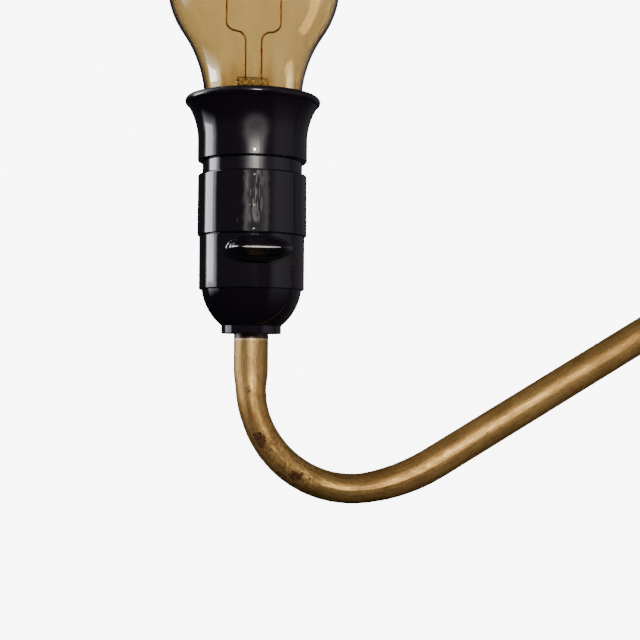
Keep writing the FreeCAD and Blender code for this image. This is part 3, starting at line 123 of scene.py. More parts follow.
class Finish:
    """A material under way, measured in metres from the lamp's own origin."""

    def __init__(self, name):
        self.material = bpy.data.materials.new(name)
        self.material.use_nodes = True
        self.tree = self.material.node_tree
        self.tree.nodes.clear()
        self.place = self.node("ShaderNodeTexCoord", output="Object")

    def node(self, kind, settings=None, sockets=None, output=0):
        return add_node(self.tree, kind, settings, sockets, output)

    def axis(self, name):
        """One coordinate of the place."""
        return self.node("ShaderNodeSeparateXYZ", None, {0: self.place}, name)

    def vector(self, x, y, z):
        return self.node("ShaderNodeCombineXYZ", None, {0: x, 1: y, 2: z})

    def stretched(self, shares, vector=None):
        """The place with each coordinate multiplied, to draw a pattern out along the others."""
        settings = {"operation": "MULTIPLY"}
        return self.node("ShaderNodeVectorMath", settings, {0: vector or self.place, 1: shares})

    def noise(self, size, detail=3.0, roughness=0.5, vector=None, bend=0.0):
        """Cloudy variation from 0 to 1 whose patches are about that size."""
        sockets = {"Vector": vector or self.place, "Scale": 1 / size, "Detail": detail,
                   "Roughness": roughness, "Distortion": bend}
        return self.node("ShaderNodeTexNoise", None, sockets, "Fac")

    def cells(self, size):
        """Distance to the nearest of many scattered points, in cell sizes."""
        sockets = {"Vector": self.place, "Scale": 1 / size}
        return self.node("ShaderNodeTexVoronoi", None, sockets, "Distance")

    def step(self, value, low, high):
        """Smooth change from 0 at low to 1 at high."""
        sockets = {"Value": value, "From Min": low, "From Max": high}
        settings = {"interpolation_type": "SMOOTHSTEP"}
        return self.node("ShaderNodeMapRange", settings, sockets)

    def between(self, value, low, high, soft):
        """1 from low to high, which fades out over soft on either side."""
        return self.step(value, low - soft, low) * (1 - self.step(value, high, high + soft))

    def mix(self, share, first, second):
        """A colour between two, by a share from 0 to 1."""
        return self.node("ShaderNodeMix", {"data_type": "RGBA"}, {0: share, 6: first, 7: second}, 2)

    def spot(self, point, size, ragged=0.45, tall=1.0):
        """A ragged mark at one place on the lamp, 1 in its middle, and so much taller than wide."""
        settings = {"operation": "DISTANCE"}
        place = self.stretched((1, 1, 1 / tall))
        point = (point[0], point[1], point[2] / tall)
        away = self.node("ShaderNodeVectorMath", settings, {0: place, 1: point}, "Value")
        edge = self.noise(size * 0.7, 5.0, 0.75, place) - 0.5
        return 1 - self.step(away * (1 / size) + edge * (ragged * 4), 0.55, 1.05)

    def bump(self, height, depth, under=None):
        """A surface relief; depth is in metres at a height of 1."""
        sockets = {"Strength": 1.0, "Distance": depth, "Height": height}
        if under:
            sockets["Normal"] = under
        return self.node("ShaderNodeBump", None, sockets)

    def surface(self, **sockets):
        """Ends the material in one surface shader."""
        values = {name.replace("_", " "): value for name, value in sockets.items()}
        shader = self.node("ShaderNodeBsdfPrincipled", None, values)
        self.node("ShaderNodeOutputMaterial", None, {"Surface": shader})
        return self.material


def colour(values):
    """A colour property as the four numbers that a socket takes."""
    return (values[0], values[1], values[2], 1.0)


def holder_front(radius, aside, height):
    """A place on the holder's front, in millimetres from its axis and above its foot."""
    reach = math.sqrt(radius ** 2 - aside ** 2)
    return (reach * MM, HOLDER_Y + aside * MM, HOLDER_FOOT + height * MM)


def dress(material, *names):
    """Gives CAD nodes a finish, all over."""
    for name in names:
        mesh = NODES[name].data
        mesh.materials.clear()
        mesh.materials.append(material)


def new_piece(name, mesh, body, slot, material, *nodes):
    """Puts a mesh or curve in the scene as a piece of the lamp that stands for CAD nodes."""
    piece = bpy.data.objects.new(name, mesh)
    bpy.context.scene.collection.objects.link(piece)
    mesh.materials.append(material)
    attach(piece, body)
    if nodes:
        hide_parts(*nodes)
    return piece


class BrassLook(PropertyGroup):
    """Finish of the aged brass parts."""

    metal: FloatVectorProperty(name="Brass", description="Colour of the rubbed brass",
                               default=(0.52, 0.325, 0.100), subtype="COLOR")
    patina: FloatVectorProperty(name="Patina", description="Colour of the darkened brass",
                                default=(0.27, 0.136, 0.046), subtype="COLOR")
    stain: FloatVectorProperty(name="Stain", description="Colour of the brown stains",
                               default=(0.050, 0.017, 0.008), subtype="COLOR")
    pit: FloatVectorProperty(name="Pits", description="Colour of the dark dots in the stains",
                             default=(0.018, 0.008, 0.006), subtype="COLOR")
    edge: FloatVectorProperty(name="Edges", description="Colour of the brass at a low angle",
                              default=(0.075, 0.058, 0.05), subtype="COLOR")
    # The dulled colour is partly painted shade: it darkens the lead where the strip light's
    # reflection falls.
    dulled: FloatVectorProperty(name="Dulled", description="Colour of the brass dulled by hands",
                                default=(0.27, 0.19, 0.075), subtype="COLOR")
    # The rim colour is a painted highlight along the tube's top end, not worn metal.
    rim: FloatVectorProperty(name="Rim", description="Colour of the tube's bright worn rim",
                             default=(0.52, 0.40, 0.22), subtype="COLOR")
    polish: FloatProperty(name="Roughness", description="Roughness of the rubbed brass",
                          default=0.29, min=0.0, max=1.0, subtype="FACTOR")
    bright: FloatProperty(name="Bare metal", description="Share of the brass that is bare metal",
                          default=0.75, min=0.0, max=1.0, subtype="FACTOR")
    scratch: FloatProperty(name="Scratch depth", description="Depth of the fine drawing lines",
                           default=30 * MICRON, unit="LENGTH", precision=6)


class BakeliteLook(PropertyGroup):
    """Finish of the black mouldings."""

    body: FloatVectorProperty(name="Body", description="Colour of the moulding",
                              default=(0.0045, 0.0032, 0.0060), subtype="COLOR")
    speck: FloatVectorProperty(name="Specks", description="Colour of the flecks in the moulding",
                               default=(0.020, 0.012, 0.008), subtype="COLOR")
    # This colour is the tint of painted olive-brown reflections on the sleeve's front, not of
    # places rubbed through.
    painted_reflection_tint: FloatVectorProperty(name="Filler", description="Colour of places rubbed through",
                                default=(0.10, 0.068, 0.034), subtype="COLOR")
    polish: FloatProperty(name="Roughness", description="Roughness where it is polished",
                          default=0.05, min=0.0, max=1.0, subtype="FACTOR")
    haze: FloatProperty(name="Haze", description="Roughness where hands have dulled it",
                        default=0.58, min=0.0, max=1.0, subtype="FACTOR")
    gloss: FloatProperty(name="Gloss", description="Strength of the moulding's reflections",
                         default=0.33, min=0.0, max=1.0, subtype="FACTOR")
    scratch: FloatProperty(name="Scratch depth", description="Depth of the handling scratches",
                           default=15 * MICRON, unit="LENGTH", precision=6)


class InsideLook(PropertyGroup):
    """Colours of the working parts."""

    ceramic: FloatVectorProperty(name="Ceramic", description="Colour of the base and the drum",
                                 default=(0.72, 0.68, 0.58), subtype="COLOR")
    # The fibre colour is partly painted shade: the washer is kept this dark for the collar's shadow
    # on it.
    fibre: FloatVectorProperty(name="Fibre", description="Colour of the washer at the holder",
                               default=(0.02, 0.012, 0.007), subtype="COLOR")
    nylon: FloatVectorProperty(name="Nylon", description="Colour of the bearings at the wall",
                               default=(0.62, 0.58, 0.48), subtype="COLOR")
    live: FloatVectorProperty(name="Live wire", description="Colour of the live wire",
                              default=(0.12, 0.05, 0.02), subtype="COLOR")
    neutral: FloatVectorProperty(name="Neutral wire", description="Colour of the neutral wire",
                                 default=(0.03, 0.08, 0.22), subtype="COLOR")
    brass: FloatVectorProperty(name="Contact brass", description="Colour of contacts and shell",
                               default=(0.72, 0.47, 0.19), subtype="COLOR")
    steel: FloatVectorProperty(name="Steel", description="Colour of screws and nuts",
                               default=(0.42, 0.41, 0.40), subtype="COLOR")
    solder: FloatVectorProperty(name="Solder", description="Colour of the bulb's end contact",
                                default=(0.5, 0.5, 0.5), subtype="COLOR")
    lead: FloatVectorProperty(name="Lead wires", description="Colour of the filament's wires",
                              default=(0.55, 0.32, 0.19), subtype="COLOR")
    tungsten: FloatVectorProperty(name="Tungsten", description="Colour of the filament",
                                  default=(0.16, 0.155, 0.15), subtype="COLOR")


class BulbLook(PropertyGroup):
    """Glass and filament of the bulb."""

    glass: FloatVectorProperty(name="Glass", description="Tint of the bulb's glass",
                               default=(0.70, 0.56, 0.31), subtype="COLOR")
    amber: FloatVectorProperty(name="Amber", description="Deeper tint in bands of that glass",
                               default=(0.42, 0.28, 0.11), subtype="COLOR")
    # Pale is the tint of the painted reflection and the painted highlight on the neck's front.
    pale: FloatVectorProperty(name="Pale", description="Light yellow tint at the neck's sides",
                              default=(1.0, 0.97, 0.70), subtype="COLOR")
    stem: FloatVectorProperty(name="Stem", description="Tint of the stem's glass",
                              default=(1.0, 0.97, 0.86), subtype="COLOR")
    coil_radius: FloatProperty(name="Coil radius", description="Radius of the filament's coil",
                               default=0.36 * MM, unit="LENGTH", precision=5)
    wire_radius: FloatProperty(name="Wire radius", description="Radius of the filament's wire",
                               default=0.09 * MM, unit="LENGTH", precision=5)
    coil_turns: IntProperty(name="Coil turns", description="Turns of the filament's coil",
                            default=62, min=1)


class ThreadSizes(PropertyGroup):
    """The rolled round thread of the bulb's cap and of the shell that takes it."""

    pitch: FloatProperty(name="Pitch", description="Rise of the thread in one turn",
                         default=25.4 * MM / 7, unit="LENGTH", precision=5)
    depth: FloatProperty(name="Depth", description="Depth of the thread",
                         default=1.1 * MM, unit="LENGTH", precision=5)
    wall: FloatProperty(name="Wall", description="Thickness of the sheet brass",
                        default=0.3 * MM, unit="LENGTH", precision=5)
    around: IntProperty(name="Steps round", description="Faces in one turn of the thread",
                        default=96, min=12)


class StudioSetup(PropertyGroup):
    """Camera, floor and lights."""

    lens: FloatProperty(name="Lens", description="Focal length", default=73.1, unit="CAMERA")
    eye: FloatVectorProperty(name="Camera", description="Place of the camera",
                             default=(0.449, -0.4548, HOLDER_FOOT - 0.0071),
                             subtype="TRANSLATION", unit="LENGTH")
    bearing: FloatProperty(name="Bearing", description="Turn of the camera round the vertical",
                           default=math.radians(80), subtype="ANGLE")
    tilt: FloatProperty(name="Roll", description="Lean of the camera to one side",
                        default=math.radians(0.47), subtype="ANGLE")
    rise: FloatProperty(name="Shift", description="Upward shift of the view",
                        default=0.0547)
    backdrop: FloatProperty(name="Backdrop", description="Brightness of the pale backdrop",
                            default=8.3)
    room: FloatProperty(name="Room", description="Brightness of the wall on the right",
                        default=0.76)
    dark: FloatProperty(name="Dark side", description="Brightness of the dark wall on the left",
                        default=0.13)
    glow: FloatProperty(name="Glow", description="Brightness of the haze round the front light",
                        default=1.2)
    through: FloatProperty(name="Through glass", description="Brightness behind the bulb's glass",
                           default=1.4)
    strip: FloatProperty(name="Strip light", description="Power of the strip light",
                         default=7.0, unit="POWER")
    key: FloatProperty(name="Front light", description="Power of the front light",
                       default=4.6, unit="POWER")
    fill: FloatProperty(name="Fill light", description="Power of the soft fill",
                        default=1.1, unit="POWER")
    window: FloatProperty(name="Window", description="Brightness of the window on the left",
                          default=6.0)
    floor_z: FloatProperty(name="Floor", description="Height of the floor",
                           default=-0.2, unit="LENGTH")


class Lamp(PropertyGroup):
    """All settings of the lamp's looks."""

    brass: PointerProperty(type=BrassLook)
    bakelite: PointerProperty(type=BakeliteLook)
    inside: PointerProperty(type=InsideLook)
    bulb: PointerProperty(type=BulbLook)
    thread: PointerProperty(type=ThreadSizes)
    studio: PointerProperty(type=StudioSetup)


class AgeBrass(Operator):
    """Aged brass with patina, drawing lines and brown stains on the tube and wall parts"""

    bl_idname = "wall_lamp.age_brass"
    bl_label = "Age the brass"

    def execute(self, context):
        look = context.scene.wall_lamp.brass
        dress(self.tube_brass(look), "arm_tube")
        dress(self.wall_brass(look, "rubbed_brass", (1, 1, 0.06)), "wall_plate")
        dress(self.wall_brass(look, "turned_brass", (1, 1, 1)), "upper_lug", "lower_lug",
              "stop_collar", "end_ferrule", "collar_screw")
        return {"FINISHED"}

    def along_tube(self, finish):
        """Places on the tube as if it were straight: sideways, outward, and along it."""
        y = finish.axis("Y")
        z = finish.axis("Z")
        up = math.cos(RUN_SLOPE)
        over = math.sin(RUN_SLOPE)
        hair = 0.01 * MM
        # The straight end under the holder.
        outward = HOOK[0] - y
        along = HOOK[1] - z
        # The tight bend.
        angle, away = self.polar(finish, HOOK[1] - z, HOOK[0] - y)
        hook = finish.step(HOOK[1] - z, 0.0, hair)
        outward = self.over_to(hook, outward, away)
        along = self.over_to(hook, along, angle * HOOK[2])
        # The open bend.
        passed = HOOK[2] * SWEEP_START
        angle, away = self.polar(finish, SWEEP[1] - z, SWEEP[0] - y)
        sweep = finish.step(angle, SWEEP_START, SWEEP_START + 0.001)
        outward = self.over_to(sweep, outward, away - (SWEEP[2] - HOOK[2]))
        along = self.over_to(sweep, along, (angle - SWEEP_START) * SWEEP[2] + passed)
        passed = passed + SWEEP[2] * (math.pi / 2 + RUN_SLOPE - SWEEP_START)
        # The long straight run.
        past = (y - RUN_START[0]) * up + (z - RUN_START[1]) * over
        run = finish.step(past, 0.0, hair)
        below = (y - RUN_START[0]) * over - (z - RUN_START[1]) * up
        outward = self.over_to(run, outward, below + HOOK[2])
        along = self.over_to(run, along, past + passed)
        # The top bend.
        length = (TOP[0] - TOP[2] * over - RUN_START[0]) / up
        passed = passed + length
        angle, away = self.polar(finish, (y - TOP[0]) * up + (z - TOP[1]) * over,
                                 (z - TOP[1]) * up - (y - TOP[0]) * over)
        top = finish.step(past, length, length + hair)
        outward = self.over_to(top, outward, HOOK[2] + TOP[2] - away)
        along = self.over_to(top, along, angle * TOP[2] + passed)
        passed = passed + TOP[2] * (math.pi / 2 + RUN_SLOPE)
        # The upright leg, all of whose brass is within 59 mm of the wall.
        leg = finish.step(y, -60 * MM, -59 * MM) * (1 - finish.step(z, TOP[1], TOP[1] + hair))
        outward = self.over_to(leg, outward, HOOK[2] + TOP[2] + TOP[0] - y)
        along = self.over_to(leg, along, passed + TOP[1] - z)
        return finish.vector(finish.axis("X"), outward, along)

    def polar(self, finish, rise, reach):
        """Angle of a place round a bend's centre, and how far it is from the centre."""
        away = finish.node("ShaderNodeVectorMath", {"operation": "LENGTH"},
                           {0: finish.vector(reach, rise, 0.0)}, "Value")
        return rise.maths("ARCTAN2", rise, reach), away

    def over_to(self, share, first, second):
        """One number that goes over to another by a share from 0 to 1."""
        return first + share * (second - first)

    def tube_brass(self, look):
        """The tube: a patina in clouds, lines along its length and the stains of its front."""
        finish = Finish("aged_tube_brass")
        along = self.along_tube(finish)
        clouds = finish.step(finish.noise(10 * MM, 5.0, 0.6), 0.38, 0.62)
        fine = finish.step(finish.noise(1.2 * MM, 6.0, 0.75), 0.40, 0.62)
        lines = finish.noise(0.5 * MM, 3.0, 0.7, finish.stretched((1, 1, 0.07), along))
        streaks = finish.noise(1.1 * MM, 4.0, 0.7, finish.stretched((1, 1, 0.10), along))
        streaks = finish.step(streaks, 0.45, 0.65)
        tone = finish.mix(clouds * 0.45 + fine * 0.35, colour(look.metal), colour(look.patina))
        tone = finish.mix(streaks * 0.35, tone, colour(look.stain))
        # Each stain: out from the wall, above the holder's foot, size (all mm) and darkness.
        marks = (
            (-400.9, -20.3, 0.9, 1.0), (-401.4, -19.3, 1.9, 0.6), (-397.6, -35.6, 2.6, 1.0),
            (-396.6, -37.6, 2.2, 1.0), (-390.0, -41.9, 0.8, 0.7), (-387.9, -43.2, 0.5, 1.0),
            (-385.5, -48.4, 2.1, 1.0), (-383.4, -48.9, 1.8, 1.0), (-381.6, -49.4, 1.3, 1.0),
            (-380.0, -50.1, 1.3, 1.0), (-384.5, -49.2, 3.6, 0.4), (-404.6, -12.0, 0.5, 1.0),
            (-404.5, -21.2, 0.5, 1.0), (-377.7, -46.8, 0.8, 0.6), (-380.3, -47.0, 0.4, 0.8),
            (-374.4, -49.9, 0.4, 0.8), (-376.6, -51.2, 0.5, 0.6), (-372.9, -52.2, 0.5, 0.5),
        )
        stained = 0.0
        for y, drop, size, share in marks:
            place = (TUBE_FRONT, y * MM, HOLDER_FOOT + drop * MM)
            stained = finish.spot(place, size * MM) * share + stained
        around = finish.spot((TUBE_FRONT, -388 * MM, HOLDER_FOOT - 46 * MM), 17 * MM, 0.2)
        scattered = 1 - finish.step(finish.cells(7 * MM) + finish.noise(2 * MM) * 0.4, 0.26, 0.36)
        stained = finish.step(stained + scattered * 0.4, 0.0, 1.0)
        dots = 1 - finish.step(finish.cells(1.2 * MM) + finish.noise(0.6 * MM) * 0.5, 0.5, 0.62)
        flecks = 1 - finish.step(finish.cells(1.2 * MM) + finish.noise(6 * MM) * 0.5, 0.32, 0.44)
        tone = finish.mix(around * fine * 0.45, tone, colour(look.stain))
        tone = finish.mix(stained * (fine * 0.1 + 0.86), tone, colour(look.stain))
        tone = finish.mix(dots * stained * 0.85 + flecks * (around * 0.5 + 0.3), tone,
                          colour(look.pit))
        # Darker brass over the lead's upper part and its outer side: partly dulled brass, partly
        # painted shade that tones down the strip light's reflection there.
        lead = 1 - finish.step(finish.axis("Y"), HOLDER_Y + 8 * MM, HOLDER_Y + 12 * MM)
        dulled_and_shaded_top = finish.step(finish.axis("Z"), HOLDER_FOOT - 26 * MM, HOLDER_FOOT - 8 * MM)
        painted_shade_side = 1 - finish.step(finish.axis("Y"), HOLDER_Y - 4.5 * MM, HOLDER_Y - 1.5 * MM)
        painted_shade_side = painted_shade_side * finish.step(finish.axis("Z"), HOLDER_FOOT - 34 * MM, HOLDER_FOOT - 20 * MM)
        tone = finish.mix(lead * (dulled_and_shaded_top * 0.4 + painted_shade_side * 0.25), tone, colour(look.dulled))
        # Painted highlight: a thin bright band of the rim colour round the tube's top end, under
        # the washer.
        rim = finish.step(finish.axis("Z"), WASHER_FOOT - 0.7 * MM, WASHER_FOOT - 0.4 * MM)
        tone = finish.mix(rim * lead, tone, colour(look.rim))
        rough = look.polish + clouds * 0.08 + fine * 0.08 + stained * 0.25
        relief = finish.bump(lines, look.scratch)
        relief = finish.bump(fine * (around * 2 + 1), 30 * MICRON, relief)
        return finish.surface(Base_Color=tone, Metallic=look.bright - stained * 0.5,
                              Roughness=rough, Normal=relief, Specular_Tint=colour(look.edge))

    def wall_brass(self, look, name, shares):
        """The other brass parts: the same metal, turned or rubbed, dark in its corners."""
        finish = Finish(name)
        clouds = finish.step(finish.noise(11 * MM, 5.0, 0.6), 0.35, 0.7)
        fine = finish.step(finish.noise(1.4 * MM, 6.0, 0.7), 0.4, 0.75)
        lines = finish.noise(0.3 * MM, 4.0, 0.6, finish.stretched(shares))
        tone = finish.mix(clouds * 0.5 + fine * 0.3, colour(look.metal), colour(look.patina))
        spots = 1 - finish.step(finish.cells(9 * MM) + finish.noise(2 * MM) * 0.4, 0.25, 0.36)
        tone = finish.mix(spots * 0.5, tone, colour(look.stain))
        rough = look.polish + clouds * 0.08 + spots * 0.15
        relief = finish.bump(lines, look.scratch)
        return finish.surface(Base_Color=tone, Metallic=look.bright - spots * 0.4,
                              Roughness=rough, Normal=relief, Specular_Tint=colour(look.edge))


class PolishMouldings(Operator):
    """Black polished mouldings with handling scratches, brown flecks and painted brown reflections
    """

    bl_idname = "wall_lamp.polish_mouldings"
    bl_label = "Polish the mouldings"

    def execute(self, context):
        look = context.scene.wall_lamp.bakelite
        dress(self.bakelite(look, "polished_bakelite", 1.0, 0.3), "inlet_bush")
        dress(self.bakelite(look, "moulded_bakelite", 1.0, 0.3), "holder_cap")
        dress(self.bakelite(look, "handled_bakelite", 0.72, 0.3, self.dull_ring), "shade_ring")
        # Painted reflections, olive-brown streaks on the sleeve's front: beside the axis, above the
        # foot, size (all mm) and tallness.
        worn = ((-3.8, 51.2, 0.4, 2.4), (-4.1, 49.9, 0.5, 2.6), (-4.6, 48.3, 0.4, 2.2),
                (-6.9, 42.5, 0.2, 12.0), (-6.9, 37.6, 0.35, 5.0))
        dress(self.bakelite(look, "rubbed_bakelite", 1.0, 1.0, self.dull_patch, worn),
              "holder_sleeve")
        dress(self.bakelite(look, "thumbed_bakelite", 3.0, 1.0, self.dull_crest), "switch_key")
        return {"FINISHED"}

    def on_front(self, finish, low, high, soft, lean=0.0):
        """1 on the holder's front between two places beside its axis, with ragged sides."""
        ragged = (finish.noise(3 * MM, 4.0, 0.6) - 0.5) * (3 * MM)
        ragged = ragged - (finish.axis("Z") - HOLDER_FOOT - 45 * MM) * lean
        patch = finish.between(finish.axis("Y") - HOLDER_Y + ragged, low, high, soft)
        return patch * finish.step(finish.axis("X"), 10 * MM, 14 * MM)

    def dull_ring(self, finish):
        """Where the shade ring is dull: its front, which clears up the flare."""
        height = finish.axis("Z") - HOLDER_FOOT
        rubbed = finish.step(height, 61 * MM, 70 * MM) * 0.5 + 0.42
        clears = 1 - finish.step(height, 69 * MM, 77 * MM)
        glint = finish.spot(holder_front(18.968, -1.6, 61.3), 0.5 * MM)
        front = self.on_front(finish, -2.0 * MM, -0.8 * MM, 7.5 * MM) * rubbed
        lip = finish.step(height, 80.0 * MM, 81.0 * MM) * 0.7
        return front * clears * (1 - glint) + lip + 0.08

    def dull_patch(self, finish):
        """Where the sleeve is dull: its hazy front with upright rubs and nicks, and the neck."""
        height = finish.axis("Z") - HOLDER_FOOT
        rubs = finish.noise(0.5 * MM, 3.0, 0.6, finish.stretched((1, 1, 0.08)))
        rubs = rubs + self.on_front(finish, -2.6 * MM, 1.4 * MM, 2.4 * MM, 0.12)
        rubs = finish.step(rubs, 1.46, 1.56) * finish.step(height, 36 * MM, 38 * MM)
        dull = self.on_front(finish, -1.7 * MM, 0.3 * MM, 5.2 * MM) * 1.35
        dull = dull + rubs * (0.76 - dull)
        # Each nick: beside the axis, above the foot and size, all in millimetres.
        nicks = ((-3.1, 42.8, 0.3), (-1.6, 42.8, 0.4), (-1.7, 34.9, 0.5), (-1.6, 53.0, 0.4))
        for aside, high, size in nicks:
            nick = finish.spot(holder_front(SLEEVE_RADIUS, aside, high), size * MM)
            dull = dull + nick * (0.5 - dull)
        neck = finish.step(height, 55.0 * MM, 55.4 * MM)
        front = self.on_front(finish, -2.6 * MM, -0.4 * MM, 9 * MM) * 0.48 + 0.08
        return dull * (1 - neck) + neck * front

    def dull_crest(self, finish):
        """Where the switch key is dull: the crest that the thumb has rubbed."""
        ragged = (finish.noise(1.2 * MM, 4.0, 0.7) - 0.5) * (1.2 * MM)
        crest = finish.axis("X") + ragged
        return finish.step(crest, KEY_CREST - 1.6 * MM, KEY_CREST - 1.0 * MM) * 0.42

    def bakelite(self, look, name, gloss, wear, where=None, worn=()):
        """Near black, glossy, a little wavy, with flecks, fine upright scratches and any painted
        reflections given.
        """
        finish = Finish(name)
        flecks = 1 - finish.step(finish.cells(2.2 * MM) + finish.noise(1 * MM) * 0.15, 0.13, 0.19)
        few = finish.step(finish.noise(6 * MM), 0.55, 0.62)
        tone = finish.mix(flecks * few, colour(look.body), colour(look.speck))
        # Painted reflections: olive-brown streaks mixed into the moulding's colour at the given
        # places.
        for aside, height, size, tall in worn:
            place = holder_front(SLEEVE_RADIUS - 0.3, aside, height)
            mark = finish.spot(place, size * MM, 0.7, tall)
            tone = finish.mix(mark * 0.6, tone, colour(look.painted_reflection_tint))
        wave = finish.noise(5 * MM, 2.0, 0.4)
        upright = finish.stretched((1, 1, 0.07))
        lines = finish.noise(0.35 * MM, 3.0, 0.6, upright, 0.6)
        scored = finish.step(lines, 0.60, 0.72) * finish.step(finish.noise(9 * MM), 0.45, 0.6)
        rough = finish.noise(3 * MM) * 0.03 + look.polish
        if where:
            dull = where(finish)
            scored = scored * dull
            rough = rough + dull * (look.haze - look.polish)
        rough = rough + scored * (0.15 * wear)
        relief = finish.bump(wave, 30 * MICRON)
        relief = finish.bump(scored, look.scratch * wear, relief)
        return finish.surface(Base_Color=tone, Roughness=rough, IOR=1.5, Normal=relief,
                              Specular_IOR_Level=look.gloss * gloss)


class FinishInsides(Operator):
    """Ceramic, fibre, nylon, rubber, plain brass, steel and tin of the working parts"""

    bl_idname = "wall_lamp.finish_insides"
    bl_label = "Finish the working parts"

    def execute(self, context):
        look = context.scene.wall_lamp.inside
        dress(self.ceramic(look), "ceramic_base", "switch_drum")
        dress(self.fibre(look), "fibre_washer")
        dress(self.nylon(look), "lug_bushes", "thrust_washer")
        dress(self.rubber("brown_wire_rubber", look.live), "live_wire")
        dress(self.rubber("blue_wire_rubber", look.neutral), "neutral_wire")
        dress(self.metal("contact_brass", look.brass, 0.24), "terminal_blocks", "live_spring",
              "centre_contact", "side_contact", "shell_rivets", "drum_bridge")
        dress(self.metal("turned_steel", look.steel, 0.3), "lug_screws", "threaded_nipple",
              "lock_nut", "grub_screw", "terminal_screws", "switch_shaft")
        dress(self.metal("solder_tin", look.solder, 0.42), "bulb_eyelet")
        dress(self.metal("drawn_lead_wire", look.lead, 0.35), "filament_leads")
        dress(self.black_glass(), "cap_insulator")
        return {"FINISHED"}

    def ceramic(self, look):
        """Cloudy cream ceramic with grey grit."""
        finish = Finish("unglazed_ceramic")
        cloud = finish.noise(6 * MM, 4.0, 0.6)
        grit = finish.step(finish.noise(0.5 * MM, 3.0, 0.6), 0.62, 0.75)
        tone = finish.mix(cloud, colour(look.ceramic), (0.60, 0.55, 0.45, 1))
        tone = finish.mix(grit * 0.35, tone, (0.35, 0.28, 0.2, 1))
        relief = finish.bump(finish.noise(0.4 * MM, 4.0, 0.6), 30 * MICRON)
        return finish.surface(Base_Color=tone, Roughness=0.55 + grit * 0.2, Normal=relief)

    def fibre(self, look):
        """Dark brown pressed fibre under varnish, kept this dark as painted shade under the collar.
        """
        finish = Finish("varnished_fibre")
        cloud = finish.noise(2.5 * MM, 5.0, 0.6)
        tone = finish.mix(cloud, colour(look.fibre), (0.07, 0.042, 0.02, 1))
        relief = finish.bump(finish.noise(0.3 * MM, 4.0, 0.7), 20 * MICRON)
        return finish.surface(Base_Color=tone, Roughness=0.25 + cloud * 0.15, Metallic=0.3,
                              Normal=relief)

    def nylon(self, look):
        """Off-white nylon, yellowed in clouds."""
        finish = Finish("worn_nylon")
        cloud = finish.noise(5 * MM, 3.0, 0.5)
        tone = finish.mix(cloud, colour(look.nylon), (0.50, 0.45, 0.35, 1))
        relief = finish.bump(finish.noise(0.5 * MM), 10 * MICRON)
        return finish.surface(Base_Color=tone, Roughness=0.42 + cloud * 0.1, Normal=relief)

    def rubber(self, name, tint):
        """A wire's coloured rubber, dusty in places."""
        finish = Finish(name)
        dust = finish.step(finish.noise(4 * MM, 5.0, 0.7), 0.45, 0.8)
        tone = finish.mix(dust * 0.3, colour(tint), (0.3, 0.27, 0.22, 1))
        relief = finish.bump(finish.noise(0.25 * MM, 3.0, 0.6), 20 * MICRON)
        return finish.surface(Base_Color=tone, Roughness=0.6 + dust * 0.2, Normal=relief)

    def metal(self, name, tint, polish):
        """A plain metal with turning marks and a little tarnish."""
        finish = Finish(name)
        tarnish = finish.step(finish.noise(3 * MM, 5.0, 0.65), 0.45, 0.75)
        lines = finish.noise(0.15 * MM, 3.0, 0.6, finish.stretched((0.3, 0.3, 1)))
        dark = [part * 0.45 for part in tint]
        tone = finish.mix(tarnish * 0.6, colour(tint), colour(dark))
        relief = finish.bump(lines, 6 * MICRON)
        return finish.surface(Base_Color=tone, Metallic=1.0, Roughness=polish + tarnish * 0.15,
                              Normal=relief)

    def black_glass(self):
        """Black glass with a slow swirl."""
        finish = Finish("pressed_black_glass")
        swirl = finish.noise(2 * MM, 3.0, 0.5, None, 1.5)
        tone = finish.mix(swirl, (0.004, 0.004, 0.006, 1), (0.02, 0.015, 0.02, 1))
        relief = finish.bump(swirl, 30 * MICRON)
        return finish.surface(Base_Color=tone, Roughness=0.1 + swirl * 0.08, Normal=relief)


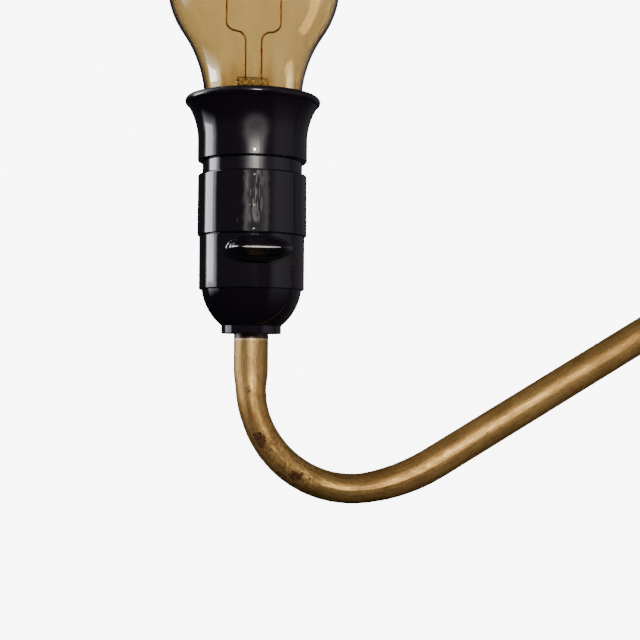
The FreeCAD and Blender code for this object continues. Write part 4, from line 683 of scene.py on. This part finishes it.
class RollThreads(Operator):
    """Sheet brass with a rolled round thread, for the bulb's cap and the shell that takes it"""

    bl_idname = "wall_lamp.roll_threads"
    bl_label = "Roll the threads"

    def execute(self, context):
        sizes = context.scene.wall_lamp.thread
        brass = self.rolled_brass(context.scene.wall_lamp.inside)
        # Both walls are stations of height, radius and share of the thread's depth.
        crest = CAP_HIGH.x
        foot = CAP_LOW.z
        rim = CAP_HIGH.z
        cap = [
            (foot, 9.25 * MM, 0), (foot + 0.8 * MM, 10.5 * MM, 0),
            (foot + 2.0 * MM, crest - 1.2 * MM, 0.2), (foot + 3.2 * MM, crest - 0.6 * MM, 1),
            (rim - 7.0 * MM, crest - 0.55 * MM, 1), (rim - 5.6 * MM, crest - 0.12 * MM, 0.05),
            (rim - 0.5 * MM, crest - 0.1 * MM, 0), (rim, crest, 0),
        ]
        wall = self.wound("cap_thread", cap, sizes)
        piece = new_piece("bulb_cap_thread", wall, "bulb", "bright_brass", brass, "bulb_cap")
        self.thicken(piece, sizes.wall)
        outside = SHELL_HIGH.x
        foot = SHELL_LOW.z
        rim = SHELL_HIGH.z
        shell = [
            (foot, 4.4 * MM, 0), (foot + 0.01 * MM, 12.2 * MM, 0),
            (foot + 0.5 * MM, 13.2 * MM, 0), (foot + 3.5 * MM, 13.3 * MM, 0.1),
            (foot + 5.0 * MM, outside - 0.55 * MM, 1), (rim - 1.5 * MM, outside - 0.55 * MM, 1),
            (rim - 0.3 * MM, outside - 0.1 * MM, 0.1), (rim, outside - 0.02 * MM, 0),
        ]
        wall = self.wound("shell_thread", shell, sizes)
        piece = new_piece("screw_shell_thread", wall, "arm", "bright_brass", brass,
                          "screw_shell")
        self.thicken(piece, sizes.wall)
        return {"FINISHED"}

    def wound(self, name, stations, sizes):
        """A turned wall through its stations, with the thread wound on."""
        rows_in_turn = 12
        rows = []
        for (low, low_radius, low_share), (high, high_radius, high_share) in zip(
                stations, stations[1:]):
            steps = max(2, math.ceil((high - low) / (sizes.pitch / rows_in_turn)))
            for step in range(steps):
                part = step / steps
                rows.append((low + (high - low) * part,
                             low_radius + (high_radius - low_radius) * part,
                             low_share + (high_share - low_share) * part))
        rows.append(stations[-1])
        points = []
        for height, radius, share in rows:
            for index in range(sizes.around):
                turn = math.tau * index / sizes.around
                wave = math.cos(math.tau * height / sizes.pitch - turn)
                reach = radius + wave * share * sizes.depth / 2
                points.append((reach * math.cos(turn), HOLDER_Y + reach * math.sin(turn), height))
        faces = []
        for row in range(len(rows) - 1):
            for index in range(sizes.around):
                after = (index + 1) % sizes.around
                low = row * sizes.around
                high = low + sizes.around
                faces.append((low + index, low + after, high + after, high + index))
        mesh = bpy.data.meshes.new(name)
        mesh.from_pydata(points, [], faces)
        mesh.shade_smooth()
        return mesh

    def thicken(self, piece, wall):
        """Gives the wall its thickness, towards the inside."""
        sheet = piece.modifiers.new("sheet", "SOLIDIFY")
        sheet.thickness = wall
        sheet.offset = -1.0

    def rolled_brass(self, look):
        """Bright sheet brass with some tarnish."""
        finish = Finish("rolled_sheet_brass")
        tarnish = finish.step(finish.noise(3.5 * MM, 5.0, 0.65), 0.4, 0.75)
        tone = finish.mix(tarnish * 0.7, colour(look.brass), (0.38, 0.22, 0.08, 1))
        relief = finish.bump(finish.noise(0.2 * MM, 3.0, 0.6), 6 * MICRON)
        return finish.surface(Base_Color=tone, Metallic=1.0, Roughness=0.24 + tarnish * 0.14,
                              Normal=relief)


class BlowGlass(Operator):
    """Tinted glass of the bulb and the wavy glass of its stem"""

    bl_idname = "wall_lamp.blow_glass"
    bl_label = "Blow the glass"

    def execute(self, context):
        look = context.scene.wall_lamp.bulb
        dress(self.bulb_glass(look), "bulb_glass")
        dress(self.stem_glass(look), "bulb_stem")
        return {"FINISHED"}

    def bulb_glass(self, look):
        """Tinted glass in slow waves, darker upright bands in the neck, and painted reflections on
        its front.
        """
        finish = Finish("tinted_bulb_glass")
        neck = 1 - finish.step(finish.axis("Z"), RING_TOP + 2 * MM, RING_TOP + 12 * MM)
        bands = finish.noise(5 * MM, 3.0, 0.6, finish.stretched((1, 1, 0.1)))
        bands = finish.step(bands, 0.38, 0.62) * (neck * 0.7 + 0.1)
        tone = finish.mix(bands, colour(look.glass), colour(look.amber))
        # On the neck's front: a painted dark line, and pale bands that are a painted reflection of
        # the strip light on the left and a painted highlight on the right.
        across = finish.axis("Y") - HOLDER_Y + (finish.noise(2 * MM) - 0.5) * (1.5 * MM)
        front = finish.step(finish.axis("X"), 0.0, 4 * MM) * neck
        dark = finish.between(across, -11.0 * MM, -8.5 * MM, 1.0 * MM)
        tone = finish.mix(dark * front * 0.4, tone, colour(look.amber))
        pale = finish.between(across, -15.2 * MM, -12.6 * MM, 0.5 * MM)
        pale = pale + finish.between(across, 9.9 * MM, 12.1 * MM, 0.6 * MM)
        tone = finish.mix(pale * front * 0.9, tone, colour(look.pale))
        relief = finish.bump(finish.noise(12 * MM, 2.0, 0.4), 0.08 * MM)
        return finish.surface(Base_Color=tone, Roughness=0.0, IOR=1.5, Transmission_Weight=1.0,
                              Specular_IOR_Level=1.0, Normal=relief)

    def stem_glass(self, look):
        """The stem's pinched glass, wavy and gilded in flecks."""
        finish = Finish("stem_glass")
        smoke = finish.step(finish.noise(3 * MM, 3.0, 0.6), 0.45, 0.65)
        tone = finish.mix(smoke * 0.25, colour(look.stem), colour(look.amber))
        gilt = finish.step(finish.noise(0.7 * MM, 2.0), 0.54, 0.58) * 0.8
        relief = finish.bump(finish.noise(0.9 * MM, 2.0, 0.4), 0.22 * MM)
        return finish.surface(Base_Color=tone, Roughness=0.0, IOR=1.5, Transmission_Weight=1.0,
                              Metallic=gilt, Specular_IOR_Level=1.0, Normal=relief)


class WindFilament(Operator):
    """The filament as a fine coil along a half circle"""

    bl_idname = "wall_lamp.wind_filament"
    bl_label = "Wind the filament"

    def execute(self, context):
        look = context.scene.wall_lamp.bulb
        span = (FILAMENT_HIGH.y - FILAMENT_LOW.y) / 2 - 0.45 * MM
        height = (FILAMENT_LOW.z + FILAMENT_HIGH.z) / 2
        coil = bpy.data.curves.new("filament_coil", "CURVE")
        coil.dimensions = "3D"
        coil.bevel_depth = look.wire_radius
        coil.bevel_resolution = 1
        spline = coil.splines.new("POLY")
        steps_in_turn = 12
        count = look.coil_turns * steps_in_turn
        spline.points.add(count)
        for index in range(count + 1):
            share = index / count
            round_bulb = math.pi * (share - 0.5)
            turn = math.tau * look.coil_turns * share
            reach = span + look.coil_radius * math.cos(turn)
            spline.points[index].co = (reach * math.cos(round_bulb),
                                       HOLDER_Y + reach * math.sin(round_bulb),
                                       height + look.coil_radius * math.sin(turn), 1)
        wire = self.tungsten(context.scene.wall_lamp.inside)
        new_piece("filament_coil", coil, "bulb", "tungsten", wire, "filament")
        return {"FINISHED"}

    def tungsten(self, look):
        """Dark grey wire."""
        finish = Finish("drawn_tungsten")
        soot = finish.noise(0.8 * MM, 3.0, 0.6)
        tone = finish.mix(soot, colour(look.tungsten), (0.08, 0.075, 0.07, 1))
        return finish.surface(Base_Color=tone, Metallic=1.0, Roughness=0.4 + soot * 0.15)


class SetStudio(Operator):
    """Pale floor and backdrop, soft lights and the camera"""

    bl_idname = "wall_lamp.set_studio"
    bl_label = "Set the studio"

    def execute(self, context):
        setup = context.scene.wall_lamp.studio
        self.camera(context.scene, setup)
        self.floor(context.scene, setup)
        self.room(context.scene, setup)
        self.lights(context.scene, setup)
        return {"FINISHED"}

    def camera(self, scene, setup):
        """The camera at the photograph's angle, level but for a slight roll."""
        data = bpy.data.cameras.new("camera")
        data.lens = setup.lens
        data.shift_y = setup.rise
        data.clip_start = 0.01
        camera = bpy.data.objects.new("camera", data)
        turn = Matrix.Rotation(setup.bearing, 4, "Z")
        turn = turn @ Matrix.Rotation(math.pi / 2, 4, "X") @ Matrix.Rotation(setup.tilt, 4, "Z")
        camera.matrix_world = Matrix.Translation(setup.eye) @ turn
        scene.collection.objects.link(camera)
        scene.camera = camera

    def floor(self, scene, setup):
        """A wide pale floor as bright as the backdrop, which reflections don't see."""
        size = 6.0
        lit = 0.45  # what the lights add to its own brightness
        corners = [(-size, -size, setup.floor_z), (size, -size, setup.floor_z),
                   (size, size, setup.floor_z), (-size, size, setup.floor_z)]
        mesh = bpy.data.meshes.new("floor")
        mesh.from_pydata(corners, [], [(0, 1, 2, 3)])
        finish = Finish("pale_floor")
        grain = finish.noise(0.4, 2.0, 0.5)
        tone = finish.mix(grain, (0.78, 0.78, 0.78, 1), (0.8, 0.8, 0.8, 1))
        mesh.materials.append(finish.surface(
            Base_Color=tone, Roughness=0.9, Emission_Color=(1, 1, 1, 1),
            Emission_Strength=setup.backdrop - lit))
        floor = bpy.data.objects.new("floor", mesh)
        floor.visible_glossy = False
        floor.visible_diffuse = False
        floor.visible_transmission = False
        scene.collection.objects.link(floor)

    def room(self, scene, setup):
        """Pale backdrop to the eye, and for reflections a grey wall, a window and a dark side."""
        world = bpy.data.worlds.new("studio")
        world.use_nodes = True
        tree = world.node_tree
        tree.nodes.clear()
        scene.world = world

        def node(kind, settings=None, sockets=None, output=0):
            return add_node(tree, kind, settings, sockets, output)

        way = node("ShaderNodeTexCoord", output="Generated")
        bearing = setup.bearing
        toward = (math.sin(bearing), -math.cos(bearing), 0)
        right = (math.cos(bearing), math.sin(bearing), 0)
        ahead = node("ShaderNodeVectorMath", {"operation": "DOT_PRODUCT"}, {0: way, 1: toward},
                     "Value")
        aside = node("ShaderNodeVectorMath", {"operation": "DOT_PRODUCT"}, {0: way, 1: right},
                     "Value")
        turned = node("ShaderNodeMath", {"operation": "ARCTAN2"}, {0: aside, 1: ahead})
        height = node("ShaderNodeSeparateXYZ", None, {0: way}, "Z")

        def step(value, low, high):
            return node("ShaderNodeMapRange", {"interpolation_type": "SMOOTHSTEP"},
                        {"Value": value, "From Min": low, "From Max": high})

        def past(low, high):
            """0 to 1 between two bearings, in degrees to the right of the camera's own."""
            return step(turned, math.radians(low), math.radians(high))

        overhead = 1 - step(height, 0.25, 0.7)
        wall = past(38, 56) * ((1 - past(62, 112)) * 0.75 + 0.25) * (1 - past(140, 170))
        wall = wall * step(height, -0.9, 0.3) * (overhead * 0.9 + 0.1) * setup.room
        dark = step(height, -0.3, 0.05) * (step(ahead, -0.8, 0.0) * 0.8 + 0.2) * setup.dark
        dark = dark * (overhead * 0.7 + 0.3) + 0.015
        beside = node("ShaderNodeCombineXYZ", None, {
            0: (turned - math.radians(6)) * (1 / 0.42), 1: (height - 0.148) * (1 / 0.08), 2: 0.0})
        far = node("ShaderNodeVectorMath", {"operation": "LENGTH"}, {0: beside}, "Value")
        glow = (1 - step(far, 0.0, 1.0)) * setup.glow
        window = past(-118, -110) * (1 - past(-84, -76)) * step(height, -0.27, 0.05)
        window = window * (1 - step(height, 0.2, 0.4)) * setup.window
        studio = wall + dark + glow + window
        # The view straight through the glass is a pale wall with faint upright panes.
        camera = node("ShaderNodeLightPath", output="Is Camera Ray")
        straight = 1 - step(node("ShaderNodeLightPath", output="Glossy Depth"), 0.4, 0.6)
        straight = straight * node("ShaderNodeLightPath", output="Is Transmission Ray")
        panes = node("ShaderNodeMath", {"operation": "COSINE"}, {0: turned * 18.0})
        level = step(height, -0.22, -0.10) * (1 - step(height, 0.10, 0.22))
        glass = setup.through * (1 - step(panes, -0.8, 0.8) * level * 0.5)
        rays = node("ShaderNodeMath", {"operation": "MAXIMUM"}, {0: camera, 1: straight})
        strength = camera * setup.backdrop + straight * glass + (1 - rays) * studio
        tint = node("ShaderNodeMix", {"data_type": "RGBA"},
                    {0: rays, 6: (1.0, 0.95, 1.08, 1), 7: (1, 1, 1, 1)}, 2)
        back = node("ShaderNodeBackground", None, {"Color": tint, "Strength": strength})
        node("ShaderNodeOutputWorld", None, {"Surface": back})

    def lights(self, scene, setup):
        """A tall strip on the left, a small light above the camera and a soft matt fill."""
        middle = Vector((0, HOLDER_Y, HOLDER_FOOT))
        strip = self.panel(scene, setup, "strip_light", middle, aside=-98.5, away=0.6,
                           height=0.40, size=(0.24, 0.70), power=setup.strip,
                           tint=(1.0, 0.96, 0.92))
        strip.visible_diffuse = False
        self.panel(scene, setup, "front_light", middle, aside=9, away=0.6, height=0.153,
                   size=(0.10, 0.02), power=setup.key, tint=(1.0, 0.96, 0.90))
        fill = self.panel(scene, setup, "fill_light", middle, aside=12, away=1.6, height=0.5,
                          size=(1.2, 1.2), power=setup.fill, tint=(1.0, 1.0, 1.0))
        fill.visible_glossy = False

    def panel(self, scene, setup, name, middle, aside, away, height, size, power, tint):
        """A soft rectangle that faces the holder, so many degrees to the camera's right."""
        bearing = setup.bearing + math.radians(aside)
        place = middle + Vector((math.sin(bearing), -math.cos(bearing), 0)) * away
        data = bpy.data.lights.new(name, "AREA")
        data.shape = "RECTANGLE"
        data.size, data.size_y = size
        data.energy = power
        data.color = tint
        light = bpy.data.objects.new(name, data)
        facing = middle - place
        light.matrix_world = (Matrix.Translation(place + Vector((0, 0, height)))
                              @ facing.to_track_quat("-Z", "Y").to_matrix().to_4x4())
        scene.collection.objects.link(light)
        return light


OPERATORS = (AgeBrass, PolishMouldings, FinishInsides, RollThreads, BlowGlass, WindFilament,
             SetStudio)


class LampPanel(Panel):
    """Buttons and settings of the wall lamp"""

    bl_idname = "VIEW3D_PT_wall_lamp"
    bl_label = "Wall lamp"
    bl_space_type = "VIEW_3D"
    bl_region_type = "UI"
    bl_category = "Wall lamp"

    def draw(self, context):
        lamp = context.scene.wall_lamp
        for operator in OPERATORS:
            self.layout.operator(operator.bl_idname)
        for group in (lamp.brass, lamp.bakelite, lamp.inside, lamp.bulb, lamp.thread,
                      lamp.studio):
            box = self.layout.box()
            for name in group.bl_rna.properties.keys():
                if name not in ("rna_type", "name"):
                    box.prop(group, name)


CLASSES = (BrassLook, BakeliteLook, InsideLook, BulbLook, ThreadSizes, StudioSetup, Lamp,
           *OPERATORS, LampPanel)


def register():
    for kind in CLASSES:
        bpy.utils.register_class(kind)
    bpy.types.Scene.wall_lamp = PointerProperty(type=Lamp)


def unregister():
    del bpy.types.Scene.wall_lamp
    for kind in reversed(CLASSES):
        bpy.utils.unregister_class(kind)


def main():
    """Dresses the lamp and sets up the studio."""
    register()
    for operator in OPERATORS:
        group, action = operator.bl_idname.split(".")
        getattr(getattr(bpy.ops, group), action)()


if __name__ == "__main__":
    main()
